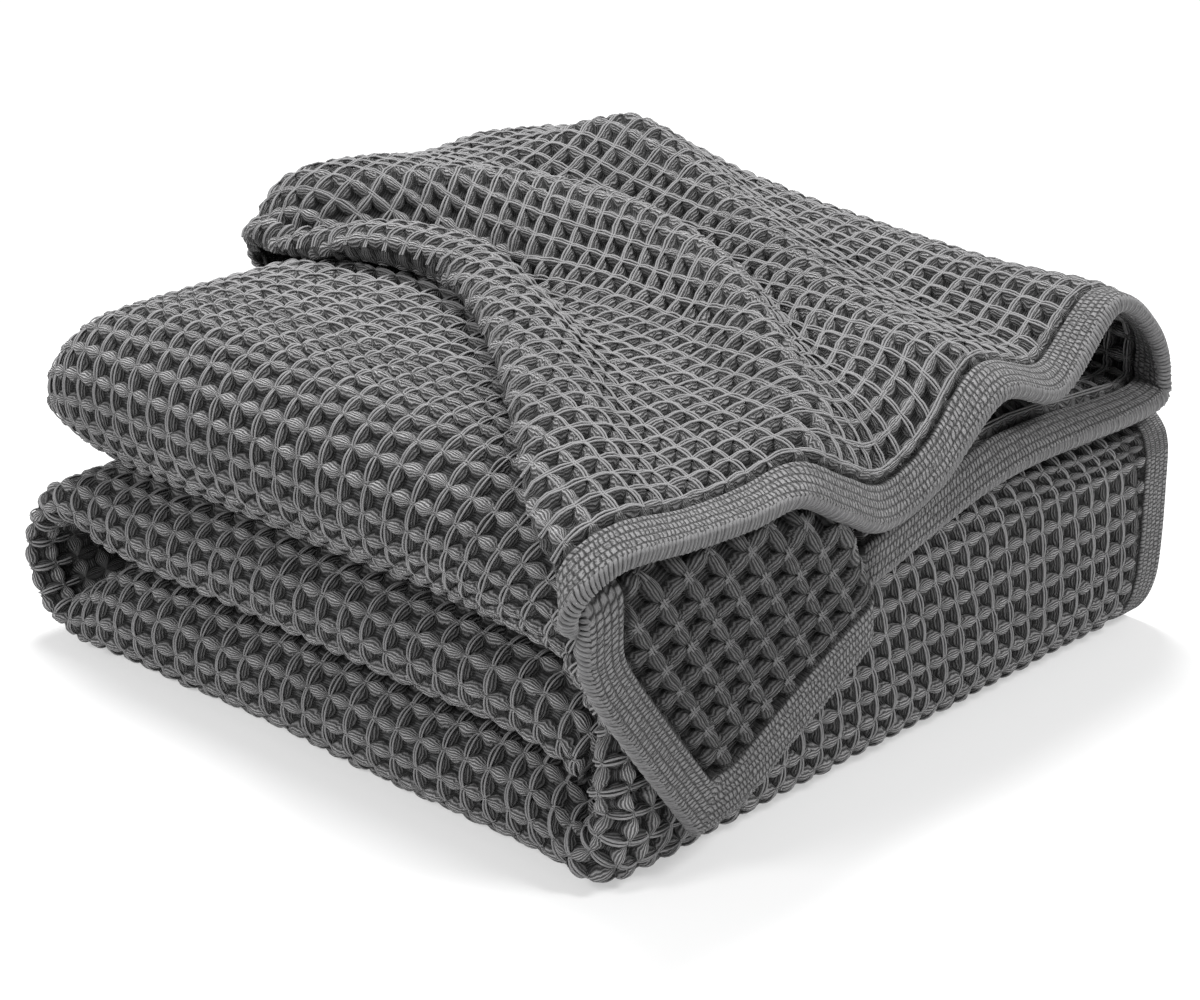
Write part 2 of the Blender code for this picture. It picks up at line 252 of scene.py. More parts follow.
def bundle(across, along, tight, number, seed):
    """Height over the pits of a bundle of yarns that runs along."""
    swell = np.abs(np.sin(np.pi * along))
    size = 1 + SIZE_LUCK * (chance(number, np.floor(along), seed) - 0.5)
    pinch = by_tightness(PINCH, tight)
    half = by_tightness(HALF, tight) * (pinch + (1 - pinch) * swell ** by_tightness(WIDEN, tight))
    out = np.clip(np.abs(across) / half, 0, 1)
    return crest(tight, swell) * size * (1 - out**2) ** by_tightness(ROUND, tight)


def waffle(p, q, taut):
    """Relief at cell coordinates p and q. Cords are tight on the lines of p where taut is 1, and on
    those of q where it is 0."""
    line_p, line_q = np.round(p), np.round(q)
    one = bundle(p - line_p, q, taut, line_p, 1.0)
    two = bundle(q - line_q, p, 1 - taut, line_q, 2.0)
    return np.maximum(one, two)


def relief(p, q, taut, distance):
    """Height over the solid's face at a distance from the edge, and the point data that the cloth's
    finish reads: how tight the cords are, the weave's height, 1 on a hem, 1 in its seam."""
    top = waffle(p, q, taut)
    band = 1 - ramp(distance, HEM - SEAM / 2, SEAM)
    seam = np.exp(-((distance - HEM) / SEAM_SPREAD) ** 2)
    ripple = RIPPLE * np.abs(np.sin(np.pi * distance / STITCH_ROW))
    height = (1 - band) * (FLOOR + top) + band * (HEM_RISE + ripple) - SEAM_DEPTH * seam
    data = np.stack((np.broadcast_to(taut, top.shape), np.clip(top / TALL[0], 0, 1), band, seam), -1)
    return height, data


# ---------------------------------------------------------------- meshes
def placed(name, data):
    """A new object in the scene."""
    obj = bpy.data.objects.new(name, data)
    bpy.context.scene.collection.objects.link(obj)
    return obj


def starts_of(sizes):
    """Where each polygon's corners start."""
    return np.concatenate(((0,), np.cumsum(sizes)[:-1]))


def quads_of(index):
    """The four corners of each cell of a grid of point numbers."""
    return np.stack((index[:-1, :-1], index[1:, :-1], index[1:, 1:], index[:-1, 1:]), -1)


def renumbered(count, corners):
    """Which of this many points the corners use, and the corners by those points' new numbers."""
    used = np.zeros(count, bool)
    used[corners] = True
    return used, (np.cumsum(used) - 1)[corners]


def mesh_from(name, points, sizes, corners, uvs, relief_data, material):
    used, corners = renumbered(len(points), corners)
    mesh = bpy.data.meshes.new(name)
    mesh.vertices.add(int(used.sum()))
    mesh.vertices.foreach_set("co", (points[used] * MM).astype(np.float32).ravel())
    mesh.loops.add(len(corners))
    mesh.loops.foreach_set("vertex_index", corners.astype(np.int32))
    mesh.polygons.add(len(sizes))
    mesh.polygons.foreach_set("loop_start", starts_of(sizes).astype(np.int32))
    mesh.polygons.foreach_set("loop_total", sizes.astype(np.int32))
    mesh.update(calc_edges=True)
    mesh.validate()
    for layer, values in uvs.items():
        uv = mesh.uv_layers.new(name=layer)
        uv.data.foreach_set("uv", values[used][corners].astype(np.float32).ravel())
    attribute = mesh.attributes.new("relief", "FLOAT_COLOR", "POINT")
    attribute.data.foreach_set("color", relief_data[used].astype(np.float32).ravel())
    mesh.polygons.foreach_set("use_smooth", np.ones(len(mesh.polygons), bool))
    mesh.materials.append(material)
    return placed(name, mesh)


def block_edges(count):
    """Every PER-th of this many points, and the last."""
    return list(range(0, count - 1, PER)) + [count - 1]


def blocks_where(row_blocks, col_blocks, test):
    """Whether each block is dense, by a test of its middle row and column."""
    return np.array([[test((i0 + i1) // 2, (j0 + j1) // 2) for j0, j1 in zip(col_blocks, col_blocks[1:])]
                     for i0, i1 in zip(row_blocks, row_blocks[1:])], bool)


def face_polygons(index, row_blocks, col_blocks, dense):
    """Polygons of one face of a sheet: its whole grid where a block is dense, and one polygon where
    it isn't, which takes the points of its borders that a dense block or the sheet's edge has."""
    sizes, corners = [], []
    for bi in range(len(row_blocks) - 1):
        for bj in range(len(col_blocks) - 1):
            i0, i1, j0, j1 = row_blocks[bi], row_blocks[bi + 1], col_blocks[bj], col_blocks[bj + 1]
            if dense[bi, bj]:
                quads = quads_of(index[i0:i1 + 1, j0:j1 + 1])
                corners.append(quads.reshape(-1))
                sizes.append(np.full(quads.shape[0] * quads.shape[1], 4))
                continue
            full = [bj == 0 or dense[bi, bj - 1], bi == len(row_blocks) - 2 or dense[bi + 1, bj],
                    bj == len(col_blocks) - 2 or dense[bi, bj + 1], bi == 0 or dense[bi - 1, bj]]
            sides = (index[i0:i1 + 1, j0], index[i1, j0:j1 + 1],
                     index[i0:i1 + 1, j1][::-1], index[i0, j0:j1 + 1][::-1])
            loop = np.concatenate([side[:-1] if whole else side[:1] for side, whole in zip(sides, full)])
            corners.append(loop)
            sizes.append(np.array([len(loop)]))
    return np.concatenate(sizes), np.concatenate(corners)


def reversed_polygons(sizes, corners):
    starts = starts_of(sizes)
    place = np.arange(len(corners)) - np.repeat(starts, sizes)
    return corners[np.repeat(starts, sizes) + np.repeat(sizes, sizes) - 1 - place]


def sheet_object(name, one, other, blocks, dense_one, dense_other, uvs, data, material):
    """A closed sheet between two matching grids."""
    rows, cols = one.shape[:2]
    points = np.concatenate((one.reshape(-1, 3), other.reshape(-1, 3)))
    index = np.arange(rows * cols).reshape(rows, cols)
    far = index + rows * cols
    sizes_a, corners_a = face_polygons(index, *blocks, dense_one)
    sizes_b, corners_b = face_polygons(far, *blocks, dense_other)
    corners_b = reversed_polygons(sizes_b, corners_b)
    ring = [(i, 0) for i in range(rows)] + [(rows - 1, j) for j in range(1, cols)]
    ring += [(i, cols - 1) for i in range(rows - 2, -1, -1)] + [(0, j) for j in range(cols - 2, 0, -1)]
    ring = np.array(ring)
    near, off = index[ring[:, 0], ring[:, 1]], far[ring[:, 0], ring[:, 1]]
    walls = np.stack((np.roll(near, -1), near, off, np.roll(off, -1)), -1).reshape(-1)
    sizes = np.concatenate((sizes_a, sizes_b, np.full(len(ring), 4)))
    corners = np.concatenate((corners_a, corners_b, walls))
    starts = starts_of(sizes)
    # The signed volume of a fan from each polygon's first corner tells which way the faces point.
    first = np.repeat(points[corners[starts]], sizes, axis=0)
    following = np.roll(corners, -1)
    following[starts + sizes - 1] = corners[starts]
    volume = (first * np.cross(points[corners], points[following])).sum()
    if volume < 0:
        corners = reversed_polygons(sizes, corners)
    both = {k: np.concatenate((v[0].reshape(-1, 2), v[1].reshape(-1, 2))) for k, v in uvs.items()}
    both_data = np.concatenate((data[0].reshape(-1, 4), data[1].reshape(-1, 4)))
    return mesh_from(name, points, sizes, corners, both, both_data, material)


# ---------------------------------------------------------------- the folded strip
def slumped(z, x):
    share = SLUMP_SHARE * ramp(x, SLUMP_FROM, SLUMP_OVER)
    return z - np.maximum(z - BED_Z, 0.0) * share


def bed_top(x, y):
    rows = STRIP[TOP_ROWS[0]:TOP_ROWS[1]]
    return slumped(np.interp(y, rows[:, 0], rows[:, 1]), x)


def strip_place(rows, share, x):
    """Points at these shares of the band's height and these x."""
    outer, inner = slumped(rows[:, 1:2], x), slumped(rows[:, 3:4], x)
    y = (rows[:, 0:1] + rows[:, 2:3] + share * (rows[:, 0:1] - rows[:, 2:3])) / 2
    z = (outer + inner + share * (outer - inner)) / 2
    return np.stack(np.broadcast_arrays(x, y, z), -1)


def crumple(rows, t):
    """How far the outer ply bulges where it is gathered round the near end of the roll."""
    near = smooth((CRUMPLE_Y - rows[:, 0:1]) / CRUMPLE_FADE)
    z = rows[:, 1:2]
    wave = np.sin(z / 7.2 + 0.8) + 0.7 * np.sin(z / 3.1 + t / 11.0) + 0.4 * np.sin(z / 1.9 - t / 7.0)
    return CRUMPLE * near * np.exp(-((t - CRUMPLE_T) / CRUMPLE_REACH) ** 2) * wave


def roll_place(rows, height, t, level):
    """Points on the outer ply at t from the roll's edge: over 0 on its outer side, under 0 on its inner."""
    left, height = rows[:, 4:5], height[:, None]
    t = np.broadcast_to(t, (len(rows), np.shape(t)[-1]))
    level = np.broadcast_to(level, (len(rows), 1))
    turn = np.clip(t / height, -np.pi / 2, np.pi / 2)
    straight = np.maximum(np.abs(t) - np.pi / 2 * height, 0)
    x = left + height - level * height * np.cos(turn) + straight - crumple(rows, t)
    return strip_place(rows, level * np.sin(turn), x)


T_LAST, T_LEAST = 300.0, -75.0       # the outer ply is dense between these places round the roll
BORDER_COLUMNS = 40      # columns from T_LAST on to the long hem
PLY_END = 3.0            # the inner plies' fold stops this much short of the hem
# Columns of the inner plies: their x, how far before their fold the last is, the angles round that fold
# and round the inner roll, and near the long hem how far in from it and how much of the ply's offset from
# HEM_LEVEL is left.
RUNS = (-88.0, -60.0, -30.0, 0.0, 30.0, 60.0, 90.0, 120.0, 135.0)
FOLD_BEFORE = 7.0
FOLD_ANGLES, ROLL_ANGLES = np.radians((-90, -45, 0, 45, 90)), np.radians((-50, 0, 50))
HEM_COLUMNS, HEM_LEVEL = ((22.0, 1.0), (12.0, 0.55), (5.0, 0.4)), 0.25
Q_LAST, Q_LEAST = T_LAST / ROLL_CELL, T_LEAST / ROLL_CELL
Q_LEAD = np.arange(round(Q_LAST * PER), round(Q_LEAST * PER) - 1, -1) / PER
T_LEAD = Q_LEAD * ROLL_CELL


def strip_rows(number):
    rows = spline(STRIP, number)
    return rows, np.linalg.norm(rows[:, 0:2] - rows[:, 2:4], axis=1) / 2


# Fine steps along the strip: row numbers of STRIP, lengths on its outer face, and cells.
FINE_PER, MIDDLE_T = 24, 150.0
FINE = np.linspace(0, len(STRIP) - 1, (len(STRIP) - 1) * FINE_PER + 1)
FINE_S = arc(roll_place(*strip_rows(FINE), np.array([MIDDLE_T]), 1.0)[:, 0])
ON_WRAP = ramp(FINE, WRAP_ROWS[0], 1.5) * (1 - ramp(FINE, WRAP_ROWS[1] - 0.5, 1.5))
FINE_CELL = BAND_CELL + (WRAP_CELL - BAND_CELL) * ON_WRAP[1:]
FINE_P = np.concatenate(((0,), np.cumsum(np.diff(FINE_S) / FINE_CELL)))


# Where the lean grows along the strip and round the roll, and where it eases: from where, over how much.
LEAN_ROWS, LEAN_T = (WRAP_ROWS[0] + 0.8, 5.5), (25, 110)
EASE_T, EASE_SHARE = (200, 100), 0.6


def leaning(number, t):
    """t of the roll after the threads' lean across the near end, which grows up it and away from the
    roll, and eases off towards the long hem."""
    rise = ramp(number, *LEAN_ROWS)
    return t - SKEW * rise * ramp(t, *LEAN_T) * (1 - EASE_SHARE * ramp(t, *EASE_T))


def strip_grid(s):
    """Both faces of the folded strip at lengths s along it. Its columns go from the long hem round the
    roll on the outer ply, and on through the inner plies to their end."""
    number = np.interp(s, FINE_S, FINE)
    rows, height = strip_rows(number)
    gap = np.maximum(PLY_GAP, LEAST_GAP / height)[:, None]
    faces = []
    count = len(rows)
    end = RIGHT_X - PLY_END - 0.5 * height[:, None]
    for side in (0, 1):
        level = 1.0 if side == 0 else 0.5 + gap
        lead = roll_place(rows, height, leaning(number[:, None], T_LEAD[None]), level)
        at_last = lead[:, :1, 0]
        share = np.linspace(1, 0, BORDER_COLUMNS + 1)[None, :-1]
        x = at_last + (RIGHT_X - at_last) * share
        thin = 1 - smooth((RIGHT_X - x) / HEM_TAPER)
        at_edge = 1 - (HEM_THICK if side else 0.0) / height[:, None]
        border = strip_place(rows, level + (at_edge - level) * thin, x)
        columns = [border, lead]
        ply4 = -1.0 if side == 0 else -0.5 - gap
        ply3 = -gap if side == 0 else -0.5 + gap
        ply2 = gap if side == 0 else 0.5 - gap
        runs = np.broadcast_to(np.array(RUNS), (count, len(RUNS)))
        ends = np.concatenate((end - FOLD_BEFORE, end), 1)
        columns.append(strip_place(rows, ply4, np.concatenate((runs, ends), 1)))
        for angle in FOLD_ANGLES:
            big, small = (1 - gap) / 2, gap
            radius, centre = (big, -(1 + gap) / 2) if side == 0 else (small, -0.5)
            columns.append(strip_place(rows, centre + radius * np.sin(angle),
                                       end + radius * height[:, None] * np.cos(angle)))
        columns.append(strip_place(rows, ply3, np.concatenate((ends[:, :1], runs[:, ::-1]), 1)))
        start = rows[:, 4:5] + height[:, None]
        columns.append(strip_place(rows, ply3, start))
        for angle in ROLL_ANGLES:
            radius = gap if side == 0 else 0.5 - gap
            columns.append(strip_place(rows, radius * np.sin(angle),
                                       start - radius * height[:, None] * np.cos(angle)))
        columns.append(strip_place(rows, ply2, np.concatenate((start, runs), 1)))
        for inward, share in HEM_COLUMNS:
            thinned = HEM_LEVEL + (ply2 - HEM_LEVEL) * share
            columns.append(strip_place(rows, thinned, np.full((count, 1), RIGHT_X - inward)))
        faces.append(np.concatenate(columns, 1))
    return number, height, faces


ROLL_FADE = (-2, 55.0)   # past the roll, where its tightness starts to fade, and over how much
TOP_FROM = (WRAP_ROWS[1] + 0.2, 2.0)     # row of STRIP where the top starts, and over how many
END_TAUT, TOP_TAUT = 0.06, 0.46      # what is left on the end turns, and what the top has more


def strip_taut(number, height, t):
    """How tight the cords are across the roll: 1 on the rolls, half on top, little on the end turns."""
    rolled = 1 - ramp(t - np.pi / 2 * height[:, None], *ROLL_FADE)
    return rolled + (1 - rolled) * (END_TAUT + TOP_TAUT * ramp(number, *TOP_FROM)[:, None])


# How far past a quarter turn the outer ply is seen: below, below on the end turns, and above. How many
# rows before and after an end turn count with it.
SEEN_BELOW, SEEN_TURNS, SEEN_ABOVE = 12, 6, 16
ROWS_BEFORE, ROWS_AFTER = 0.6, 0.4
# The loose end's left edge, how far past it the strip is hidden, and over which height.
FLAP_COVER, COVER_Z = 16.0, 60
FLAP_EDGE_Y = np.array((-178, -150, -105, -60, 0, 45, 85, 125, 160, 185), float)
FLAP_EDGE_X = np.array((-190, -177, -141, -106, -65, -45, -50, -57, -50, -45), float)


def strip_shown(number, height, point, t):
    """Whether this place on the outer ply can be seen."""
    quarter = np.pi / 2 * height
    rolled = (t > -quarter - SEEN_BELOW) & (t < quarter + SEEN_ABOVE)
    turned, wrapped = ((number > first - ROWS_BEFORE) & (number < last + ROWS_AFTER)
                       & (t > -quarter - SEEN_TURNS) for first, last in (TURN_ROWS, WRAP_ROWS))
    edge = np.interp(point[..., 1], FLAP_EDGE_Y, FLAP_EDGE_X)
    on_top = (number >= WRAP_ROWS[1]) & (t > -quarter - SEEN_BELOW)
    covered = (point[..., 0] > edge + FLAP_COVER) & (point[..., 2] > COVER_Z) & (number < TOP_ROWS[1] + 0.2)
    return (rolled | turned | wrapped | on_top) & ~(on_top & covered)


# What the plain faces say of their cords' tightness, outside and inside, and how far off a hem is.
PLAIN_OUT, PLAIN_IN, FAR, OFF_HEM = 0.75, 0.6, 999.0, 60.0
REST_Z, REST_FADE, REST_SHARE = 0.2, 4.0, 0.25   # relief is pressed flat to this share where it rests


def strip_piece(name, p_from, p_to, material):
    """The folded strip between two places along it, in cells."""
    p_rows = np.arange(round(p_from * PER), round(p_to * PER) + 1) / PER
    s = np.interp(p_rows, FINE_P, FINE_S)
    number, height, (one, other) = strip_grid(s)
    lead = BORDER_COLUMNS + len(T_LEAD)
    x_lead = one[:, :lead, 0]
    t = np.broadcast_to(np.concatenate((np.zeros(BORDER_COLUMNS), T_LEAD)), x_lead.shape).copy()
    t[:, :BORDER_COLUMNS] = T_LAST + x_lead[:, :BORDER_COLUMNS] - x_lead[:, BORDER_COLUMNS:BORDER_COLUMNS + 1]
    distance = np.where(t > 0, RIGHT_X - x_lead, FAR)
    p, q = wavered(p_rows[:, None], t / ROLL_CELL)
    taut = strip_taut(number, height, t)
    rise, made = relief(p, q, taut, distance)
    rise *= REST_SHARE + (1 - REST_SHARE) * ramp(one[:, :lead, 2], REST_Z, REST_FADE)
    fade = ramp(t, T_LEAST, 10.0)
    out = unit(one[:, :lead] - other[:, :lead])
    one[:, :lead] += out * (rise * fade)[..., None]
    one[:, :lead, 2] = np.maximum(one[:, :lead, 2], 0.0)
    row_blocks = block_edges(len(s))
    col_blocks = block_edges(lead) + list(range(lead, one.shape[1]))
    dense = blocks_where(row_blocks, col_blocks, lambda i, j: j < lead - 1 and strip_shown(
        number[i], height[i], one[i, j], t[i, j]))
    data = np.zeros(one.shape[:2] + (4,))
    data[..., 0] = PLAIN_OUT
    data[:, :lead] = made
    plain = np.zeros(one.shape[:2] + (4,))
    plain[..., 0] = PLAIN_IN
    weave = np.zeros(one.shape[:2] + (2,))
    weave[:, :lead, 0], weave[:, :lead, 1] = p, q
    weave[:, lead:, 0] = p_rows[:, None]
    weave[:, lead:, 1] = arc(one, 1)[:, lead:] / ROLL_CELL
    along = np.zeros_like(weave)
    along[..., 0] = s[:, None]
    along[:, :lead, 1] = distance
    along[:, lead:, 1] = OFF_HEM
    uvs = {"weave": (weave, weave), "hem": (along, along)}
    return sheet_object(name, one, other, (row_blocks, col_blocks), dense, np.zeros_like(dense), uvs,
                        (data, plain), material)


SPLIT_ROW = 18.6         # row of STRIP where the lower folds end and the upper fold starts
P_END = np.floor(FINE_P[-1] * PER) / PER
P_SPLIT = round(float(np.interp(SPLIT_ROW, FINE, FINE_P)))


# ---------------------------------------------------------------- the loose end
def flap_rows():
    """Control points of the loose end, folds by stations by xyz."""
    out = []
    for _name, on_bed, turn_x, columns, hem in FLAP:
        heights = [z + bed_top(x, y) * on_bed for (x, z), y in zip(columns, FLAP_Y)]
        row = []
        for y, rise, draw in TURN:
            x = turn_x + draw * (1 - ramp(turn_x, DRAW_FROM, DRAW_OVER))
            low = slumped(TURN_Z, x)
            row.append((x, y, low + rise * (heights[0] - low)))
        for (x, _z), y, z in zip(columns, FLAP_Y, heights):
            row.append((x, y, z))
        x, z = columns[-1][0], heights[-1]
        row.append(((x + hem[0]) / 2, BRINK_Y + BRINK_FOLLOW * (hem[1] - HEM_Y),
                    z + BRINK_DROP * (hem[2] - z)))
        row.append(hem)
        out.append(row)
    return np.array(out, float)


def refine(grid, across, along):
    grid = spline(grid, across)
    return np.swapaxes(spline(np.swapaxes(grid, 0, 1), along), 0, 1)


def flattened(grid):
    """The sheet laid out flat with the least stretch, its last column along v = 0, in mm."""
    rows, cols = grid.shape[:2]
    index = np.arange(rows * cols).reshape(rows, cols)
    mesh = bpy.data.meshes.new("pattern")
    mesh.from_pydata(grid.reshape(-1, 3).tolist(), [], quads_of(index).reshape(-1, 4).tolist())
    mesh.uv_layers.new(name="flat")
    obj = placed("pattern", mesh)
    for other in bpy.context.view_layer.objects:
        other.select_set(False)
    bpy.context.view_layer.objects.active = obj
    obj.select_set(True)
    bpy.ops.object.mode_set(mode="EDIT")
    bpy.ops.mesh.select_all(action="SELECT")
    bpy.ops.uv.unwrap(method="MINIMUM_STRETCH", margin=0.0)
    bpy.ops.object.mode_set(mode="OBJECT")
    uv = np.zeros(len(mesh.loops) * 2, np.float32)
    mesh.uv_layers["flat"].data.foreach_get("uv", uv)
    corner = np.zeros(len(mesh.loops), np.int32)
    mesh.loops.foreach_get("vertex_index", corner)
    flat = np.zeros((rows * cols, 2))
    flat[corner] = uv.reshape(-1, 2)
    bpy.data.objects.remove(obj)
    bpy.data.meshes.remove(mesh)
    flat = flat.reshape(rows, cols, 2)
    step_3d = np.linalg.norm(np.diff(grid, axis=0), axis=2).sum()
    flat *= step_3d / np.linalg.norm(np.diff(flat, axis=0), axis=2).sum()
    chord = flat[-1, -1] - flat[0, -1]
    chord /= np.linalg.norm(chord)
    across = np.array((-chord[1], chord[0]))
    flat = np.stack(((flat - flat[0, -1]) @ chord, (flat - flat[0, -1]) @ across), -1)
    if flat[:, 0, 1].mean() < 0:
        flat[..., 1] *= -1
    hem = flat[:, -1]
    order = np.argsort(hem[:, 0])
    flat[..., 1] -= np.interp(flat[..., 0], hem[order, 0], hem[order, 1])
    return flat


def read_grid(grid, r, c):
    """Bilinear reading of a grid at fractional row and column numbers."""
    i = np.clip(np.floor(r).astype(int), 0, grid.shape[0] - 2)
    j = np.clip(np.floor(c).astype(int), 0, grid.shape[1] - 2)
    a, b = (r - i)[..., None], (c - j)[..., None]
    return ((1 - a) * ((1 - b) * grid[i, j] + b * grid[i, j + 1])
            + a * ((1 - b) * grid[i + 1, j] + b * grid[i + 1, j + 1]))


CORD_PER = 6             # points of a strand in each cell
ACROSS_PER, ALONG_PER = 4, 6         # steps between the loose end's rows and stations, laid out flat
FLAP_STEP, FLAP_FINE = 1.6, 0.85     # its mesh steps, and those near its hem
FINE_BAND = HEM + 3.0    # how far from the hem's edge the fine steps go
FOLD = FLAP_NAMES.index("fold")      # the row where its long edge turns under
UNDER_STEPS = 30         # mesh steps from there to its last row
MID_STATION = 10.0       # the station, and the rows, by which the steps are spaced
MID_ROWS = (4.0, 7.0, 11.0)
FINE_ROWS, FINE_STATIONS = 721, 521  # fine steps that those are measured in


def even(length, rows, step, fine=0.0, band=0.0):
    """Row numbers a step apart by this length at each row, with fine steps within a band of the last."""
    total = length[-1]
    body = np.linspace(0, total - band, max(2, round((total - band) / step) + 1))
    if band:
        body = np.concatenate((body, np.linspace(total - band, total, round(band / fine) + 1)[1:]))
    return np.interp(body, length, rows)


def sheet_surface(mid, half):
    """Both faces of a sheet and its outward direction on the first face."""
    normal = unit(np.cross(np.gradient(mid, axis=0), np.gradient(mid, axis=1)))
    return mid - normal * half[..., None], mid + normal * half[..., None], -normal


def rounded(distance):
    """Share of the thickness near an edge."""
    inside = np.clip(distance / EDGE_ROUND, 0, 1)
    return 0.30 + 0.70 * np.sqrt(1 - (1 - inside) ** 2)


def curvature(face, out, u, v):
    """How much the face bends round each direction, over 0 where it is a ridge."""
    def along(axis, length):
        step = np.gradient(length, axis=axis)
        step = np.where(np.abs(step) < 1e-3, 1e-3, step)
        bend = np.gradient(np.gradient(face, axis=axis) / step[..., None], axis=axis) / step[..., None]
        return -(bend * out).sum(-1)
    return along(0, u), along(1, v)


def soften(values, times):
    for _ in range(times):
        padded = np.pad(values, 1, mode="edge")
        values = (padded[:-2, 1:-1] + padded[2:, 1:-1] + padded[1:-1, :-2] + padded[1:-1, 2:]
                  + 4 * padded[1:-1, 1:-1]) / 8
    return values


def flap_lattice(r, c):
    """Places in the cloth, in mm, of each row and column: across from the lip, and up from the hem."""
    coarse_r = np.linspace(0, len(FLAP) - 1, (len(FLAP) - 1) * ACROSS_PER + 1)
    stations = len(TURN) + len(FLAP_Y) + 2
    coarse_c = np.linspace(0, stations - 1, (stations - 1) * ALONG_PER + 1)
    flat = flattened(refine(flap_rows(), coarse_r, coarse_c))
    rr, cc = np.meshgrid(r * ACROSS_PER, c * ALONG_PER, indexing="ij")
    return read_grid(flat, rr, cc)


def flap_surface():
    """The loose end's rows and stations, its places in the cloth, both faces and the way out."""
    control = flap_rows()
    fine = np.linspace(0, len(FLAP) - 1, FINE_ROWS)
    length = arc(refine(control, fine, np.array([MID_STATION]))[:, 0])
    at_fold = np.interp(FOLD, fine, length)
    steps = np.linspace(0, at_fold, round(at_fold / FLAP_STEP) + 1)
    under = np.linspace(FOLD, len(FLAP) - 1, UNDER_STEPS + 1)[1:]
    r = np.concatenate((np.interp(steps, length, fine), under))
    fine = np.linspace(0, control.shape[1] - 1, FINE_STATIONS)
    length = arc(refine(control, np.array(MID_ROWS), fine), 1).mean(axis=0)
    c = even(length, fine, FLAP_STEP, FLAP_FINE, FINE_BAND)
    mid = refine(control, r, c)
    flat = flap_lattice(r, c)
    u, v = flat[..., 0], flat[..., 1]
    half = FLAP_HALF * rounded(v) * np.interp(r, (0, TUCK_ROWS), (TUCK_TAPER, 1.0))[:, None]
    top, low, out = sheet_surface(mid, half)
    return r, c, u, v, top, low, out


FLAP_R, FLAP_C, FLAP_U, FLAP_V, FLAP_TOP, FLAP_LOW, FLAP_OUT = flap_surface()


BEND_GAIN, BEND_SOFT, LEAN = 9.0, 60, 0.32       # how the folds' bend tells which cords are tight


def flap_taut():
    """How tight the cords are: 0.5 where the cloth is flat, and more on those that run over a ridge."""
    round_u, round_v = curvature(FLAP_TOP, FLAP_OUT, FLAP_U, FLAP_V)
    return 0.5 + np.clip(soften((round_v - round_u) * BEND_GAIN, BEND_SOFT), -LEAN, LEAN)


FLAP_TAUT = flap_taut()
# The gathered cloth at the far right, by rows and by stations: where it starts, and over how much.
GATHER_ROWS, GATHER_STATIONS = (14.4, 0.8), (4.2, 1.2)
UNDER_ROW = 10.3         # the row from which the under face shows, near the hem
RELIEF_UNDER, DENSE_UNDER, CORDS_UNDER = 118, 110, 104   # how far in its relief, mesh and cords go
DENSE_HEM = (24, 20)     # the mesh is dense this near the hem, on top and below


def flap_piece(material):
    r, c, u, v = FLAP_R, FLAP_C, FLAP_U, FLAP_V
    p, q = wavered(u / FLAP_CELL, v / FLAP_CELL)
    height, made = relief(p, q, FLAP_TAUT, v)
    # The relief grows from nothing at the tucked lip and at the low end of the far turn.
    tucked, turned = ramp(r, 0.2, 2.6)[:, None], ramp(c, 0.4, 2.0)[None, :]
    gathered = ramp(r, *GATHER_ROWS)[:, None] * (1 - ramp(c, *GATHER_STATIONS))[None, :]
    height = height * (1 - gathered) * smooth(v / EDGE_FADE)
    top = FLAP_TOP + FLAP_OUT * (height * tucked * turned)[..., None]
    low_shown = (r >= UNDER_ROW)[:, None] & (v < RELIEF_UNDER)
    low = FLAP_LOW - FLAP_OUT * (height * low_shown)[..., None]
    blocks = block_edges(len(r)), block_edges(len(c))
    dense_top = blocks_where(*blocks, lambda i, j: 2.0 < r[i] < FOLD + 0.7 or v[i, j] < DENSE_HEM[0])
    dense_low = blocks_where(*blocks, lambda i, j: v[i, j] < DENSE_HEM[1]
                             or (r[i] > UNDER_ROW and v[i, j] < DENSE_UNDER))
    weave, hem = np.stack((p, q), -1), np.stack((u, v), -1)
    uvs = {"weave": (weave, weave), "hem": (hem, hem)}
    return sheet_object("loose_end", top, low, blocks, dense_top, dense_low, uvs, (made, made), material)


# ---------------------------------------------------------------- the hanging corner
CORNER_STEP = 1.1        # its mesh steps
CORNER_FINE = (121, 161)             # fine steps that those are measured in
BACK_SHARE = 0.5         # share of the relief that its back has


def from_line(points, line):
    """Each point's distance from the nearest point of a line of points."""
    return np.stack([np.linalg.norm(points - spot, axis=-1) for spot in line]).min(axis=0)


def corner_surface():
    """The corner's distances from both hems, its places in the cloth, both faces and the way out."""
    fine_r, fine_c = (np.linspace(0, count - 1, steps) for count, steps in zip(CORNER.shape, CORNER_FINE))
    grid = refine(CORNER, fine_r, fine_c)
    down, over = arc(grid, 0).mean(axis=1), arc(grid, 1).mean(axis=0)
    r = even(down, fine_r, CORNER_STEP)
    c = even(over, fine_c, CORNER_STEP)
    mid = refine(CORNER, r, c)
    u, v = from_line(mid, mid[:, 0]), from_line(mid, mid[-1])
    half = FLAP_HALF * np.minimum(rounded(u), rounded(v))
    top, low, out = sheet_surface(mid, half)
    tip = CORNER[-1, 0]
    down_hem, along_hem = unit(tip - CORNER[2, 0]), unit(CORNER[-1, -2] - tip)
    flat = mid - tip
    line_u = flat[..., 2] * down_hem[0] - flat[..., 0] * down_hem[2]
    line_v = flat[..., 2] * along_hem[0] - flat[..., 0] * along_hem[2]
    return u, v, line_u, line_v, low, top, -out


CORNER_U, CORNER_V, CORNER_P, CORNER_Q, CORNER_FACE, CORNER_BACK, CORNER_OUT = corner_surface()


